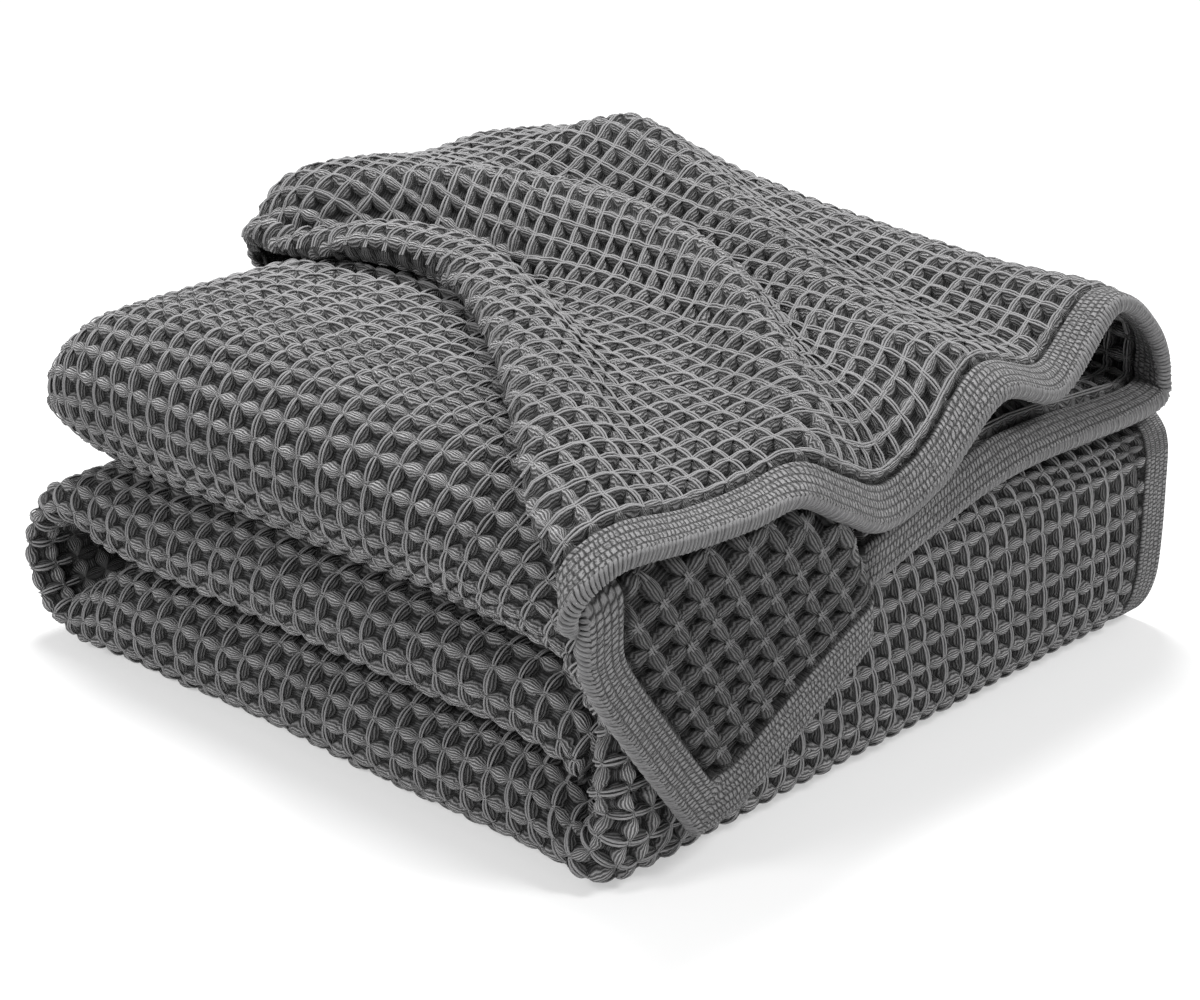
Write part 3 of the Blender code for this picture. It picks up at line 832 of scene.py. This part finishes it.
def corner_piece(material):
    u, v = CORNER_U, CORNER_V
    distance = np.minimum(u, v - LOWER_HEM + HEM)
    p, q = wavered(CORNER_P / CORNER_CELL, CORNER_Q / CORNER_CELL)
    height, made = relief(p, q, np.full(u.shape, 0.5), distance)
    distance = np.minimum(u, v)
    out = CORNER_OUT * (height * smooth(distance / EDGE_FADE))[..., None]
    one, other = CORNER_FACE + out, CORNER_BACK - out * BACK_SHARE
    blocks = [0, u.shape[0] - 1], [0, u.shape[1] - 1]
    whole = np.ones((1, 1), bool)
    weave = np.stack((p, q), -1)
    hem = np.stack((np.where(u < v, v, u), distance), -1)
    uvs = {"weave": (weave, weave), "hem": (hem, hem)}
    return sheet_object("hanging_corner", one, other, blocks, whole, whole, uvs, (made, made), material)


# ---------------------------------------------------------------- cords and stitching
def links(shown):
    """Pairs of neighbouring points along each line that are both shown."""
    index = np.arange(shown.size).reshape(shown.shape)
    both = shown[:, :-1] & shown[:, 1:]
    return np.stack((index[:, :-1][both], index[:, 1:][both]), -1)


CORD_TIGHT = (0.0, 0.15, 0.4, 0.6, 1.0)
CORD_LIFT = (-1.6, -0.9, 0.0, 0.15, 0.40)        # over the bundle's crest, by how tight the cord is
CORD_DROP = 2.2                                  # how far a cord dives into a hem
TIE_REACH = np.array((-1.9, -1.0, 0.0, 1.0, 1.9))
TIE_RISE = np.array((-1.1, 0.35, 0.62, 0.35, -1.1))
TIE_TIGHT, TIE_DROP = 0.55, 0.2                  # cords slacker than this, or that dive more, aren't tied
TIE_APART, TIE_STRAY, TIE_TURN = 0.5, 0.3, 0.9   # half their gap, and their chance shift and turn
APART, OPEN, OPEN_LUCK = 0.50, 0.08, 0.42        # half the gap of a cord's strands, and more between knots
TWIST, STRAY = 0.18, 0.315                       # how far they rise and fall, and how far a cord strays
STRIP_TIGHT, SHEET_TIGHT = 0.2, 0.05             # cords slacker than this aren't shown
FLOOR_CLEAR, HEM_CLEAR = 1.0, 0.4                # nor those nearer than this to the floor or a hem
DIVE = 4.5                                       # how near a hem a sheet's cords start to dive
STRIP_SEED, SHEET_SEED = 5, 7


def cord_rise(tight, swell):
    """Height of a cord's middle over the solid's face."""
    return FLOOR + crest(tight, swell) + np.interp(tight, CORD_TIGHT, CORD_LIFT)


def ties(place, out, tight, along, shown, drop, seed):
    """Two short yarns over each knot of a tight cord."""
    run = unit(np.gradient(place, axis=1))
    side = unit(np.cross(out, run))
    knot = (np.abs(along - np.round(along)) < 1e-6) & (tight > TIE_TIGHT) & shown & (drop < TIE_DROP)
    rise = cord_rise(tight[knot], 0.0)
    place, out, run, side = place[knot], out[knot], run[knot], side[knot]
    number = np.arange(len(place))
    points, edges = [], []
    for hand in (-1, 1):
        turn = TIE_TURN * (chance(number, hand, seed) - 0.5)
        way = unit(side + run * turn[:, None])
        shift = hand * TIE_APART + TIE_STRAY * (chance(number, hand, seed + 2) - 0.5)
        middle = place + out * rise[:, None] + run * shift[:, None]
        line = (middle[:, None] + way[:, None] * TIE_REACH[None, :, None]
                + out[:, None] * TIE_RISE[None, :, None])
        edges.append(links(np.ones(line.shape[:2], bool)) + number.size * len(TIE_REACH) * (hand > 0))
        points.append(line.reshape(-1, 3))
    return np.concatenate(points), np.concatenate(edges)


def strands(place, out, tight, along, shown, drop, seed):
    """Two strands side by side along each line: points and links."""
    run = unit(np.gradient(place, axis=1))
    side = unit(np.cross(out, run))
    swell = np.abs(np.sin(np.pi * along))
    number = np.arange(len(place))[:, None]
    luck = chance(number, np.floor(along), seed)
    opening = APART + (OPEN + OPEN_LUCK * luck * ramp(tight, 0.45, 0.4)) * swell
    wander = STRAY * drift(number * 5.0, along * 3, seed + 1)
    rise = cord_rise(tight, swell) - CORD_DROP * drop
    points, edges = [], []
    for hand in (-1, 1):
        lift = rise + TWIST * hand * np.sin(np.pi * along)
        line = place + out * lift[..., None] + side * (hand * opening + wander)[..., None]
        edges.append(links(shown) + line[..., 0].size * (hand > 0))
        points.append(line.reshape(-1, 3))
    return np.concatenate(points), np.concatenate(edges)


EXTRA_Q, FIRST_Q = 3, -5             # cells of cord past T_LAST, and the first cord round the roll


def strip_lines():
    """Lines of cord over the folded strip: across it, then along it."""
    lines = np.arange(1, int(P_END))
    q = np.arange(round((Q_LAST + EXTRA_Q) * CORD_PER), round(Q_LEAST * CORD_PER) + 1, -1) / CORD_PER
    jobs = [(*np.broadcast_arrays(lines[:, None], q[None]), True)]
    lines = np.arange(FIRST_Q, int(Q_LAST) + EXTRA_Q)
    p = np.arange(0, int(P_END * CORD_PER)) / CORD_PER
    jobs.append((*np.broadcast_arrays(p[None], lines[:, None]), False))
    found = []
    for p_all, q_all, across in jobs:
        along = q_all if across else p_all
        moved_p, moved_q = wavered(p_all, q_all)
        p_all, q_all = (2 * p_all - moved_p, q_all) if across else (p_all, 2 * q_all - moved_q)
        number = np.interp(p_all.ravel(), FINE_P, FINE)
        rows, height = strip_rows(number)
        t_flat = leaning(number[:, None], q_all.reshape(-1, 1) * ROLL_CELL)
        top = roll_place(rows, height, t_flat, 1.0)[:, 0]
        low = roll_place(rows, height, t_flat, 0.5)[:, 0]
        out = unit(top - low)
        taut = strip_taut(number, height, t_flat)[:, 0]
        tight = taut if across else 1 - taut
        shown = strip_shown(number, height, top, t_flat[:, 0])
        shown &= (tight > STRIP_TIGHT) & (top[:, 0] < RIGHT_X - HEM - 1) & (top[:, 2] > FLOOR_CLEAR)
        drop = ramp(top[:, 0], RIGHT_X - HEM - 5, 4)
        shape = p_all.shape
        found.append((top.reshape(shape + (3,)), out.reshape(shape + (3,)), tight.reshape(shape),
                      along, shown.reshape(shape), drop.reshape(shape), STRIP_SEED + across))
    return found


def grid_lines(u, v, cell, face, out, taut, edge, spare, pitch, reach=1.0):
    """Lines of cord over a sheet whose places in the cloth are u and v, with a point each pitch of its
    mesh, shown where they are spare and within this reach of a knot, in cells."""
    rows, cols = u.shape
    found = []
    for across in (True, False):
        length, other = (u, v) if across else (v, u)
        lines = np.arange(1, int(length.max() / cell) + 1) * cell
        if across:
            kept = np.arange(0, cols, pitch)
            i = np.stack([np.interp(lines, length[:, j], np.arange(rows)) for j in kept], 1)
            i_in = np.stack([(lines > length[0, j]) & (lines < length[-1, j]) for j in kept], 1)
            j = np.repeat(kept[None], len(lines), 0).astype(float)
        else:
            kept = np.arange(0, rows, pitch)
            j = np.stack([np.interp(lines, length[k, ::-1], np.arange(cols)[::-1]) for k in kept], 1)
            i_in = np.stack([(lines > length[k].min()) & (lines < length[k].max()) for k in kept], 1)
            i = np.repeat(kept[None], len(lines), 0).astype(float)
        place, way = read_grid(face, i, j), unit(read_grid(out, i, j))
        tight = read_grid(taut[..., None], i, j)[..., 0]
        tight = tight if across else 1 - tight
        from_hem = read_grid(edge[..., None], i, j)[..., 0]
        shown = i_in & (tight > SHEET_TIGHT) & (from_hem > HEM_CLEAR) & spare(i, j)
        along = read_grid(other[..., None], i, j)[..., 0] / cell
        shown &= np.abs(along - np.round(along)) < reach
        found.append((place, way, tight, along, shown, 1 - smooth(from_hem / DIVE), SHEET_SEED + across))
    return found


FLAP_PITCH, CORNER_PITCH, CORNER_REACH = 2, 1, 0.24
CORD_ROWS, GATHER_CORDS = (2.2, 15.8), (5.0, 14.6)       # in the gathered cloth they end sooner


def flap_spare(i, j):
    r = np.interp(i, np.arange(len(FLAP_R)), FLAP_R)
    c = np.interp(j, np.arange(len(FLAP_C)), FLAP_C)
    return (r > CORD_ROWS[0]) & (r < np.where(c < GATHER_CORDS[0], GATHER_CORDS[1], CORD_ROWS[1]))


def flap_low_spare(i, j):
    r = np.interp(i, np.arange(len(FLAP_R)), FLAP_R)
    return (read_grid(FLAP_V[..., None], i, j)[..., 0] < CORDS_UNDER) & (r > UNDER_ROW + 0.3)


def corner_spare(i, j):
    return i > 0


LOOP_CLEAR = 0.55        # the sewing thread's middle stands off the cloth by this


def overlock(edge, inward, normal, half, reach):
    """A thread wound round an edge, sewn through this far in."""
    length = arc(edge)
    turns = int(length[-1] / LOOP_PITCH)
    at = np.linspace(0, length[-1], turns * LOOP_POINTS + 1)
    read = [np.stack([np.interp(at, length, v[:, k]) for k in range(3)], -1) for v in (edge, inward, normal)]
    thick = half + LOOP_CLEAR
    turn = np.arange(len(at)) / LOOP_POINTS * 2 * np.pi
    sway = 1 + 0.06 * np.sin(at * 0.9) * np.cos(at * 0.37)
    swing = (reach + 0.5) / 2
    points = (read[0] + read[1] * ((reach - swing - swing * np.cos(turn)) * sway)[:, None]
              + read[2] * (np.sin(turn) * thick * sway)[:, None])
    index = np.arange(len(at))
    return points, np.stack((index[:-1], index[1:]), -1)


FLAP_EDGE, CORNER_EDGE = (2.3, 3.4), (2.0, 2.2)  # half the edge's thickness, and how far in it is sewn


def edges_of_hems():
    """Wound threads of the loose end's hem and of the corner's two."""
    mid = (FLAP_TOP + FLAP_LOW) / 2
    found = [overlock(mid[:, -1], unit(mid[:, -4] - mid[:, -1]), FLAP_OUT[:, -1], *FLAP_EDGE)]
    mid = (CORNER_FACE + CORNER_BACK) / 2
    found.append(overlock(mid[:, 0], unit(mid[:, 4] - mid[:, 0]), CORNER_OUT[:, 0], *CORNER_EDGE))
    found.append(overlock(mid[-1], unit(mid[-5] - mid[-1]), CORNER_OUT[-1], *CORNER_EDGE))
    return found


def thread_tree():
    """Thread along the edges of a mesh, with its sides, thickness and material as inputs."""
    tree = bpy.data.node_groups.new("thread", "GeometryNodeTree")
    face = tree.interface
    face.new_socket("Geometry", in_out="INPUT", socket_type="NodeSocketGeometry")
    sides = face.new_socket("Sides", in_out="INPUT", socket_type="NodeSocketInt")
    thick = face.new_socket("Thickness", in_out="INPUT", socket_type="NodeSocketFloat")
    cloth = face.new_socket("Material", in_out="INPUT", socket_type="NodeSocketMaterial")
    face.new_socket("Geometry", in_out="OUTPUT", socket_type="NodeSocketGeometry")
    nodes, link = tree.nodes, tree.links.new
    start, end = nodes.new("NodeGroupInput"), nodes.new("NodeGroupOutput")
    curve = nodes.new("GeometryNodeMeshToCurve")
    ring = nodes.new("GeometryNodeCurvePrimitiveCircle")
    tube = nodes.new("GeometryNodeCurveToMesh")
    tube.inputs["Fill Caps"].default_value = True
    shade = nodes.new("GeometryNodeSetShadeSmooth")
    real = nodes.new("GeometryNodeRealizeInstances")
    paint = nodes.new("GeometryNodeSetMaterial")
    for source, output, target, place in (
            (start, "Geometry", curve, "Mesh"), (start, "Sides", ring, "Resolution"),
            (start, "Thickness", ring, "Radius"), (curve, "Curve", tube, "Curve"),
            (ring, "Curve", tube, "Profile Curve"), (tube, "Mesh", shade, "Geometry"),
            (shade, "Geometry", real, "Geometry"), (real, "Geometry", paint, "Geometry"),
            (start, "Material", paint, "Material"), (paint, "Geometry", end, "Geometry")):
        link(source.outputs[output], target.inputs[place])
    return tree, sides.identifier, thick.identifier, cloth.identifier


def threads(name, found, radius, tree, material):
    """One piece of thread along all the paths found."""
    points, edges, total = [], [], 0
    for place, pairs in found:
        points.append(place)
        edges.append(pairs + total)
        total += len(place)
    points, edges = np.concatenate(points), np.concatenate(edges)
    used, edges = renumbered(len(points), edges)
    points = points[used]
    mesh = bpy.data.meshes.new(name + "_paths")
    mesh.vertices.add(len(points))
    mesh.vertices.foreach_set("co", (points * MM).astype(np.float32).ravel())
    mesh.edges.add(len(edges))
    mesh.edges.foreach_set("vertices", edges.astype(np.int32).ravel())
    guide = placed(name + "_paths", mesh)
    group, sides_id, radius_id, material_id = tree
    modifier = guide.modifiers.new("thread", "NODES")
    modifier.node_group = group
    modifier[sides_id] = CORD_SIDES
    modifier[radius_id] = radius * MM
    modifier[material_id] = material
    graph = bpy.context.evaluated_depsgraph_get()
    made = bpy.data.meshes.new_from_object(guide.evaluated_get(graph))
    bpy.data.objects.remove(guide)
    bpy.data.meshes.remove(mesh)
    made.name = name
    return placed(name, made)


# ---------------------------------------------------------------- finishes
class Maths:
    """A value in a material, worked with as in arithmetic."""

    def __init__(self, tree, socket=None):
        self.tree, self.socket = tree, socket

    def node(self, kind, settings=None, output=0, **inputs):
        node = self.tree.nodes.new(kind)
        for key, value in (settings or {}).items():
            setattr(node, key, value)
        for key, value in inputs.items():
            place = node.inputs[int(key[1:])] if key[0] == "i" and key[1:].isdigit() else node.inputs[key]
            if isinstance(value, Maths):
                self.tree.links.new(value.socket, place)
            else:
                place.default_value = value
        return Maths(self.tree, node.outputs[output])

    def output(self, place):
        """Another output of the node that this value comes from."""
        return Maths(self.tree, self.socket.node.outputs[place])

    def calculate(self, operation, *values):
        return self.node("ShaderNodeMath", {"operation": operation},
                         **{f"i{k}": value for k, value in enumerate(values)})

    def __add__(self, other):
        return self.calculate("ADD", self, other)

    def __radd__(self, other):
        return self.calculate("ADD", other, self)

    def __sub__(self, other):
        return self.calculate("SUBTRACT", self, other)

    def __rsub__(self, other):
        return self.calculate("SUBTRACT", other, self)

    def __mul__(self, other):
        return self.calculate("MULTIPLY", self, other)

    def __rmul__(self, other):
        return self.calculate("MULTIPLY", other, self)

    def __truediv__(self, other):
        return self.calculate("DIVIDE", self, other)

    def __pow__(self, other):
        return self.calculate("POWER", self, other)

    def sin(self):
        return self.calculate("SINE", self)

    def absolute(self):
        return self.calculate("ABSOLUTE", self)

    def clamp(self):
        return self.calculate("MAXIMUM", self.calculate("MINIMUM", self, 1.0), 0.0)

    def between(self, low, high):
        return self.node("ShaderNodeMapRange", {"interpolation_type": "SMOOTHSTEP"},
                         i0=self, i1=low, i2=high, i3=0.0, i4=1.0)

    def noise(self, scale, detail):
        """Flat noise over this place."""
        return self.node("ShaderNodeTexNoise", {"noise_dimensions": "2D"},
                         i0=self, Scale=scale, Detail=detail)


def blend(share, one, other):
    return share * one + (1 - share) * other


def cloth_place(start, layer):
    """A place in the cloth from this UV layer, whole and as its two values."""
    whole = start.node("ShaderNodeUVMap", {"uv_map": layer})
    apart = start.node("ShaderNodeSeparateXYZ", i0=whole)
    return whole, apart.output(0), apart.output(1)


def colour_mix(share, low, high):
    node = share.tree.nodes.new("ShaderNodeMix")
    node.data_type = "RGBA"
    sockets = [s for s in node.inputs if s.enabled]
    for socket, value in zip(sockets, (share, low, high)):
        if isinstance(value, Maths):
            share.tree.links.new(value.socket, socket)
        else:
            socket.default_value = value
    return Maths(share.tree, next(s for s in node.outputs if s.enabled))


def new_material(name, roughness):
    material = bpy.data.materials.new(name)
    material.use_nodes = True
    tree = material.node_tree
    shader = tree.nodes["Principled BSDF"]
    shader.inputs["Roughness"].default_value = roughness
    shader.inputs["Specular IOR Level"].default_value = 0.25
    shader.inputs["Sheen Weight"].default_value = 0.12
    shader.inputs["Sheen Roughness"].default_value = 0.5
    return material, tree, shader


def grey(value, warm=0.0):
    return (value * (1 + warm), value, value * (1 - warm + 0.02), 1.0)


# How light the yarns are: in a pit where both ways are alike and where one is tight, in a bundle where
# it is tight and where it is slack, in the cords, and on a hem. The pits' dark tones are painted shade in
# the hollows, and the tight bundle's darker tone is painted shade under its cord.
PIT_SHADE, GROUND_SHADE, LEAF_SHADE, BEAD, CORD_YARN, BAND_YARN = 0.012, 0.050, 0.088, 0.210, 0.235, 0.185
YARNS, FLOOR_YARNS = 7.5, 9          # yarns across a bundle, and across a cell's floor


def curve_of(values, tight):
    """by_tightness as shader maths."""
    slack, even_one, taut = values
    first, second = 4 * even_one - 3 * slack - taut, 2 * (slack - 2 * even_one + taut)
    return tight * first + tight * tight * second + slack


def yarns(across, along, tight, wobble):
    """A bundle's height, how far out on it a point is, and the stripes of its yarns."""
    swell = (along * math.pi).sin().absolute()
    pinch = curve_of(PINCH, tight)
    half = curve_of(HALF, tight) * (pinch + (1 - pinch) * swell ** curve_of(WIDEN, tight))
    off = across - across.calculate("ROUND", across)
    out = off / half
    far = out.absolute()
    share = (1 - far * far).clamp() ** curve_of(ROUND, tight)
    saddle = curve_of(SADDLE, tight)
    height = curve_of(TALL, tight) * (saddle + (1 - saddle) * swell ** SWELL) * share
    stripes = ((out + wobble) * (math.pi * YARNS)).sin() * 0.5 + 0.5
    return height, far, share, stripes


def woven_cotton(name, level):
    """The cloth: fine yarns over the bundles, a plain weave in the pits, stitch rows on the hems, with painted
    shade in the pits, in the creases, at the bundles' edges and feet and under the cords; a level under 1
    paints shade over all but the hems.
    """
    material, tree, shader = new_material(name, 0.92)
    start = Maths(tree)
    parts = start.node("ShaderNodeAttribute", {"attribute_name": "relief"})
    split = start.node("ShaderNodeSeparateColor", i0=parts)
    tight, band = split.output(0), split.output(2)
    seam = parts.output("Alpha").between(0.10, 0.60)
    weave, p, q = cloth_place(start, "weave")
    hem, run, away = cloth_place(start, "hem")
    wobble = (weave.noise(2.2, 3.0) - 0.5) * 0.42
    tall_p, far_p, share_p, stripes_p = yarns(p, q, tight, wobble)
    tall_q, far_q, share_q, stripes_q = yarns(q, p, 1 - tight, wobble)
    which = ((tall_p - tall_q) * 2.2 + 0.5).clamp()
    tall = tall_p.calculate("MAXIMUM", tall_p, tall_q)
    stripes = blend(which, stripes_p, stripes_q)
    share = blend(which, share_p, share_q)
    lean = blend(which, tight, 1 - tight)
    raised = tall.between(0.05, 0.55)
    # Painted shade: the pit floor darkens towards the feet of the bundles round it.
    floor_unshaded = far_p.between(0.98, 1.45) * far_q.between(0.98, 1.45)
    floor_yarns = (q * (2 * math.pi * FLOOR_YARNS) + wobble * 4).sin() * 0.5 + 0.5
    # Painted shade: dark where the two bundles meet in a crease.
    crease_unshaded = (tall_p - tall_q).absolute().between(0.0, 0.55)
    row = away / STITCH_ROW + wobble * 0.8
    stitch = run / STITCH + row.calculate("FLOOR", row) * 0.37 + wobble * 2.8
    rows = (row * math.pi).sin().absolute().between(0.08, 0.62)
    stitches = (stitch * math.pi).sin().absolute().between(0.10, 0.75)
    spots = hem.noise(0.55, 1.0)
    basket = (rows * 0.65 + 0.35) * (stitches * 0.9 + 0.1) * (spots.between(0.30, 0.52) * 0.5 + 0.5)
    cloud, fuzz = weave.noise(0.31, 3.0), weave.noise(28.0, 2.0)
    # A tight bundle, which lies under a cord, takes the darker tone: painted shade from the cord.
    yarn = colour_mix(lean.between(0.3, 1.0), grey(BEAD, 0.01), grey(LEAF_SHADE, 0.01))
    # Painted shadow of a cord's two strands along the middle of the tight bundle under it.
    cord_shadow_p = 1 - (1 - far_p.between(0.0, 0.22)) * tight.between(0.35, 0.5)
    cord_shadow_q = 1 - (1 - far_q.between(0.0, 0.22)) * (1 - tight).between(0.35, 0.5)
    under = blend(which, cord_shadow_p, cord_shadow_q) * 0.6 + 0.4
    # Painted shade on a bundle: darker towards its edges, where it meets the other in a crease, and along its
    # middle under a cord.
    light_yarn = (share * 0.9 + 0.1) * (stripes ** 0.7 * 0.8 + 0.28) * (crease_unshaded * 0.8 + 0.2) * under
    light_floor = (floor_unshaded * 0.8 + 0.2) * (floor_yarns * 0.7 + 0.45)
    light = blend(raised, light_yarn, light_floor)
    sided = (tight - 0.5).absolute().between(0.15, 0.5)
    # Painted shade in the hollows: the pits take far darker tones than the yarns, darkest where both ways are
    # alike.
    woven = colour_mix(raised, colour_mix(sided, grey(PIT_SHADE), grey(GROUND_SHADE)), yarn)
    tone = colour_mix(band, woven, grey(BAND_YARN, 0.01))
    light = (1 - band) * light ** 1.6 * 1.75 + band * (basket * 1.0 + 0.10)
    # A level under 1 darkens all but the hems: painted shade.
    light = light * (cloud * 0.5 + 0.75) * (fuzz * 0.5 + 0.75) * (band * (1 - level) + level)
    light = light * (1 - seam * 0.85) * (sided * 0.20 + 0.80 + band * 0.20 * (1 - sided))
    tone = start.node("ShaderNodeVectorMath", {"operation": "SCALE"}, i0=tone, i3=light)
    tree.links.new(tone.socket, shader.inputs["Base Color"])
    fine = raised * stripes + (1 - raised) * floor_yarns * 0.6
    fine = (1 - band) * fine + band * basket * 1.2
    bump = start.node("ShaderNodeBump", None, Strength=1.0, Distance=0.0008, Height=fine + fuzz * 0.35)
    tree.links.new(bump.socket, shader.inputs["Normal"])
    return material


def cord_cotton(name, level):
    """A twisted cotton strand."""
    material, tree, shader = new_material(name, 0.88)
    start = Maths(tree)
    place = start.node("ShaderNodeTexCoord", output=3)
    fuzz = start.node("ShaderNodeTexNoise", None, i0=place, Scale=900.0, Detail=2.0)
    slow = start.node("ShaderNodeTexNoise", None, i0=place, Scale=24.0, Detail=2.0)
    tone = colour_mix((fuzz * 0.7 + slow * 0.5 - 0.1).clamp(), grey(level * 0.62), grey(level * 1.25, 0.012))
    tree.links.new(tone.socket, shader.inputs["Base Color"])
    bump = start.node("ShaderNodeBump", None, Strength=0.5, Distance=0.0002, Height=fuzz)
    tree.links.new(bump.socket, shader.inputs["Normal"])
    return material


# ---------------------------------------------------------------- the pieces
cotton = woven_cotton("waffle_cotton", 1.0)
# The hanging corner gets darker copies of the cloth and its cords: painted shade under the loose end's hem.
painted_shade_cotton = woven_cotton("corner_cotton_painted_shade", 0.6)
cord = cord_cotton("cord_cotton", CORD_YARN)
loose_cord = cord_cotton("loose_end_cord", CORD_YARN * 0.91)
painted_shade_cord = cord_cotton("corner_cord", CORD_YARN * 0.62)
sewing = cord_cotton("edge_thread", BAND_YARN * 0.9)
lower = strip_piece("lower_folds", 0.0, P_SPLIT, cotton)
upper = strip_piece("upper_fold", P_SPLIT, P_END, cotton)
loose = flap_piece(cotton)
corner = corner_piece(painted_shade_cotton)
tree = thread_tree()
strip_found = strip_lines()
flap_found = grid_lines(FLAP_U, FLAP_V, FLAP_CELL, FLAP_TOP, FLAP_OUT, FLAP_TAUT, FLAP_V - HEM,
                        flap_spare, FLAP_PITCH)
low_found = grid_lines(FLAP_U, FLAP_V, FLAP_CELL, FLAP_LOW, -FLAP_OUT, FLAP_TAUT, FLAP_V - HEM,
                       flap_low_spare, FLAP_PITCH)
corner_found = grid_lines(CORNER_P.T, CORNER_Q.T, CORNER_CELL, CORNER_FACE.transpose(1, 0, 2),
                          CORNER_OUT.transpose(1, 0, 2), np.full(CORNER_U.T.shape, 0.5),
                          np.minimum(CORNER_U - HEM, CORNER_V - LOWER_HEM).T, corner_spare,
                          CORNER_PITCH, CORNER_REACH)
strip_cords = threads("fold_cords", [strands(*job) for job in strip_found], STRAND, tree, cord)
strip_ties = threads("knot_yarns", [ties(*job) for job in strip_found], TIE, tree, cord)
flap_cords = threads("loose_end_cords", [strands(*job) for job in flap_found + low_found], STRAND,
                     tree, loose_cord)
corner_cords = threads("corner_cords", [strands(*job) for job in corner_found], STRAND, tree, painted_shade_cord)
stitching = threads("edge_stitching", edges_of_hems(), LOOP, tree, sewing)

shown = [lower, upper, loose, corner, strip_cords, strip_ties, flap_cords, corner_cords, stitching]
for piece in shown:
    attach(piece, "root")
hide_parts("blanket")


# ---------------------------------------------------------------- camera, floor and light
LENS, SENSOR = 82.54, 36.0           # millimetres
CAMERA_PLACE = (-0.7860, -0.7507, 0.4862)        # metres, as are the floor and the lights
CAMERA_RIGHT = Vector((0.68835, -0.72537, 0.0))
CAMERA_UP = Vector((0.26585, 0.25228, 0.93042))
FLOOR_HALF = 6.0


def camera():
    data = bpy.data.cameras.new("camera")
    data.lens, data.sensor_width, data.sensor_fit = LENS, SENSOR, "HORIZONTAL"
    data.clip_start, data.clip_end = 0.05, 20.0
    obj = placed("camera", data)
    turn = Matrix((CAMERA_RIGHT, CAMERA_UP, CAMERA_RIGHT.cross(CAMERA_UP))).transposed()
    obj.matrix_world = Matrix.Translation(CAMERA_PLACE) @ turn.to_4x4()
    bpy.context.scene.camera = obj


def floor():
    mesh = bpy.data.meshes.new("floor")
    corners = [(x * FLOOR_HALF, y * FLOOR_HALF, 0) for x, y in ((-1, -1), (1, -1), (1, 1), (-1, 1))]
    mesh.from_pydata(corners, [], [(0, 1, 2, 3)])
    material = bpy.data.materials.new("floor")
    material.use_nodes = True
    shader = material.node_tree.nodes["Principled BSDF"]
    shader.inputs["Base Color"].default_value = (0.5, 0.5, 0.5, 1)
    shader.inputs["Roughness"].default_value = 0.9
    shader.inputs["Emission Color"].default_value = (1, 1, 1, 1)
    shader.inputs["Emission Strength"].default_value = 0.45
    mesh.materials.append(material)
    placed("floor", mesh)


def area_light(name, place, target, size, power):
    data = bpy.data.lights.new(name, "AREA")
    data.shape, data.size, data.energy = "DISK", size, power
    obj = placed(name, data)
    obj.location = place
    obj.rotation_euler = (Vector(target) - Vector(place)).to_track_quat("-Z", "Y").to_euler()


def world():
    scene = bpy.context.scene
    scene.world = bpy.data.worlds.new("studio")
    scene.world.use_nodes = True
    back = scene.world.node_tree.nodes["Background"]
    back.inputs["Color"].default_value = (1.0, 1.0, 1.0, 1.0)
    back.inputs["Strength"].default_value = 0.36
    scene.view_settings.view_transform = "Standard"


camera()
floor()
world()
area_light("top", (0.3, 0.5, 1.8), (0.0, 0.0, 0.05), 0.9, 46.0)
area_light("left", (-1.5, 0.1, 1.1), (0.0, 0.0, 0.08), 0.5, 15.0)
area_light("front", (0.2, -1.5, 1.7), (0.0, 0.0, 0.08), 0.6, 27.0)
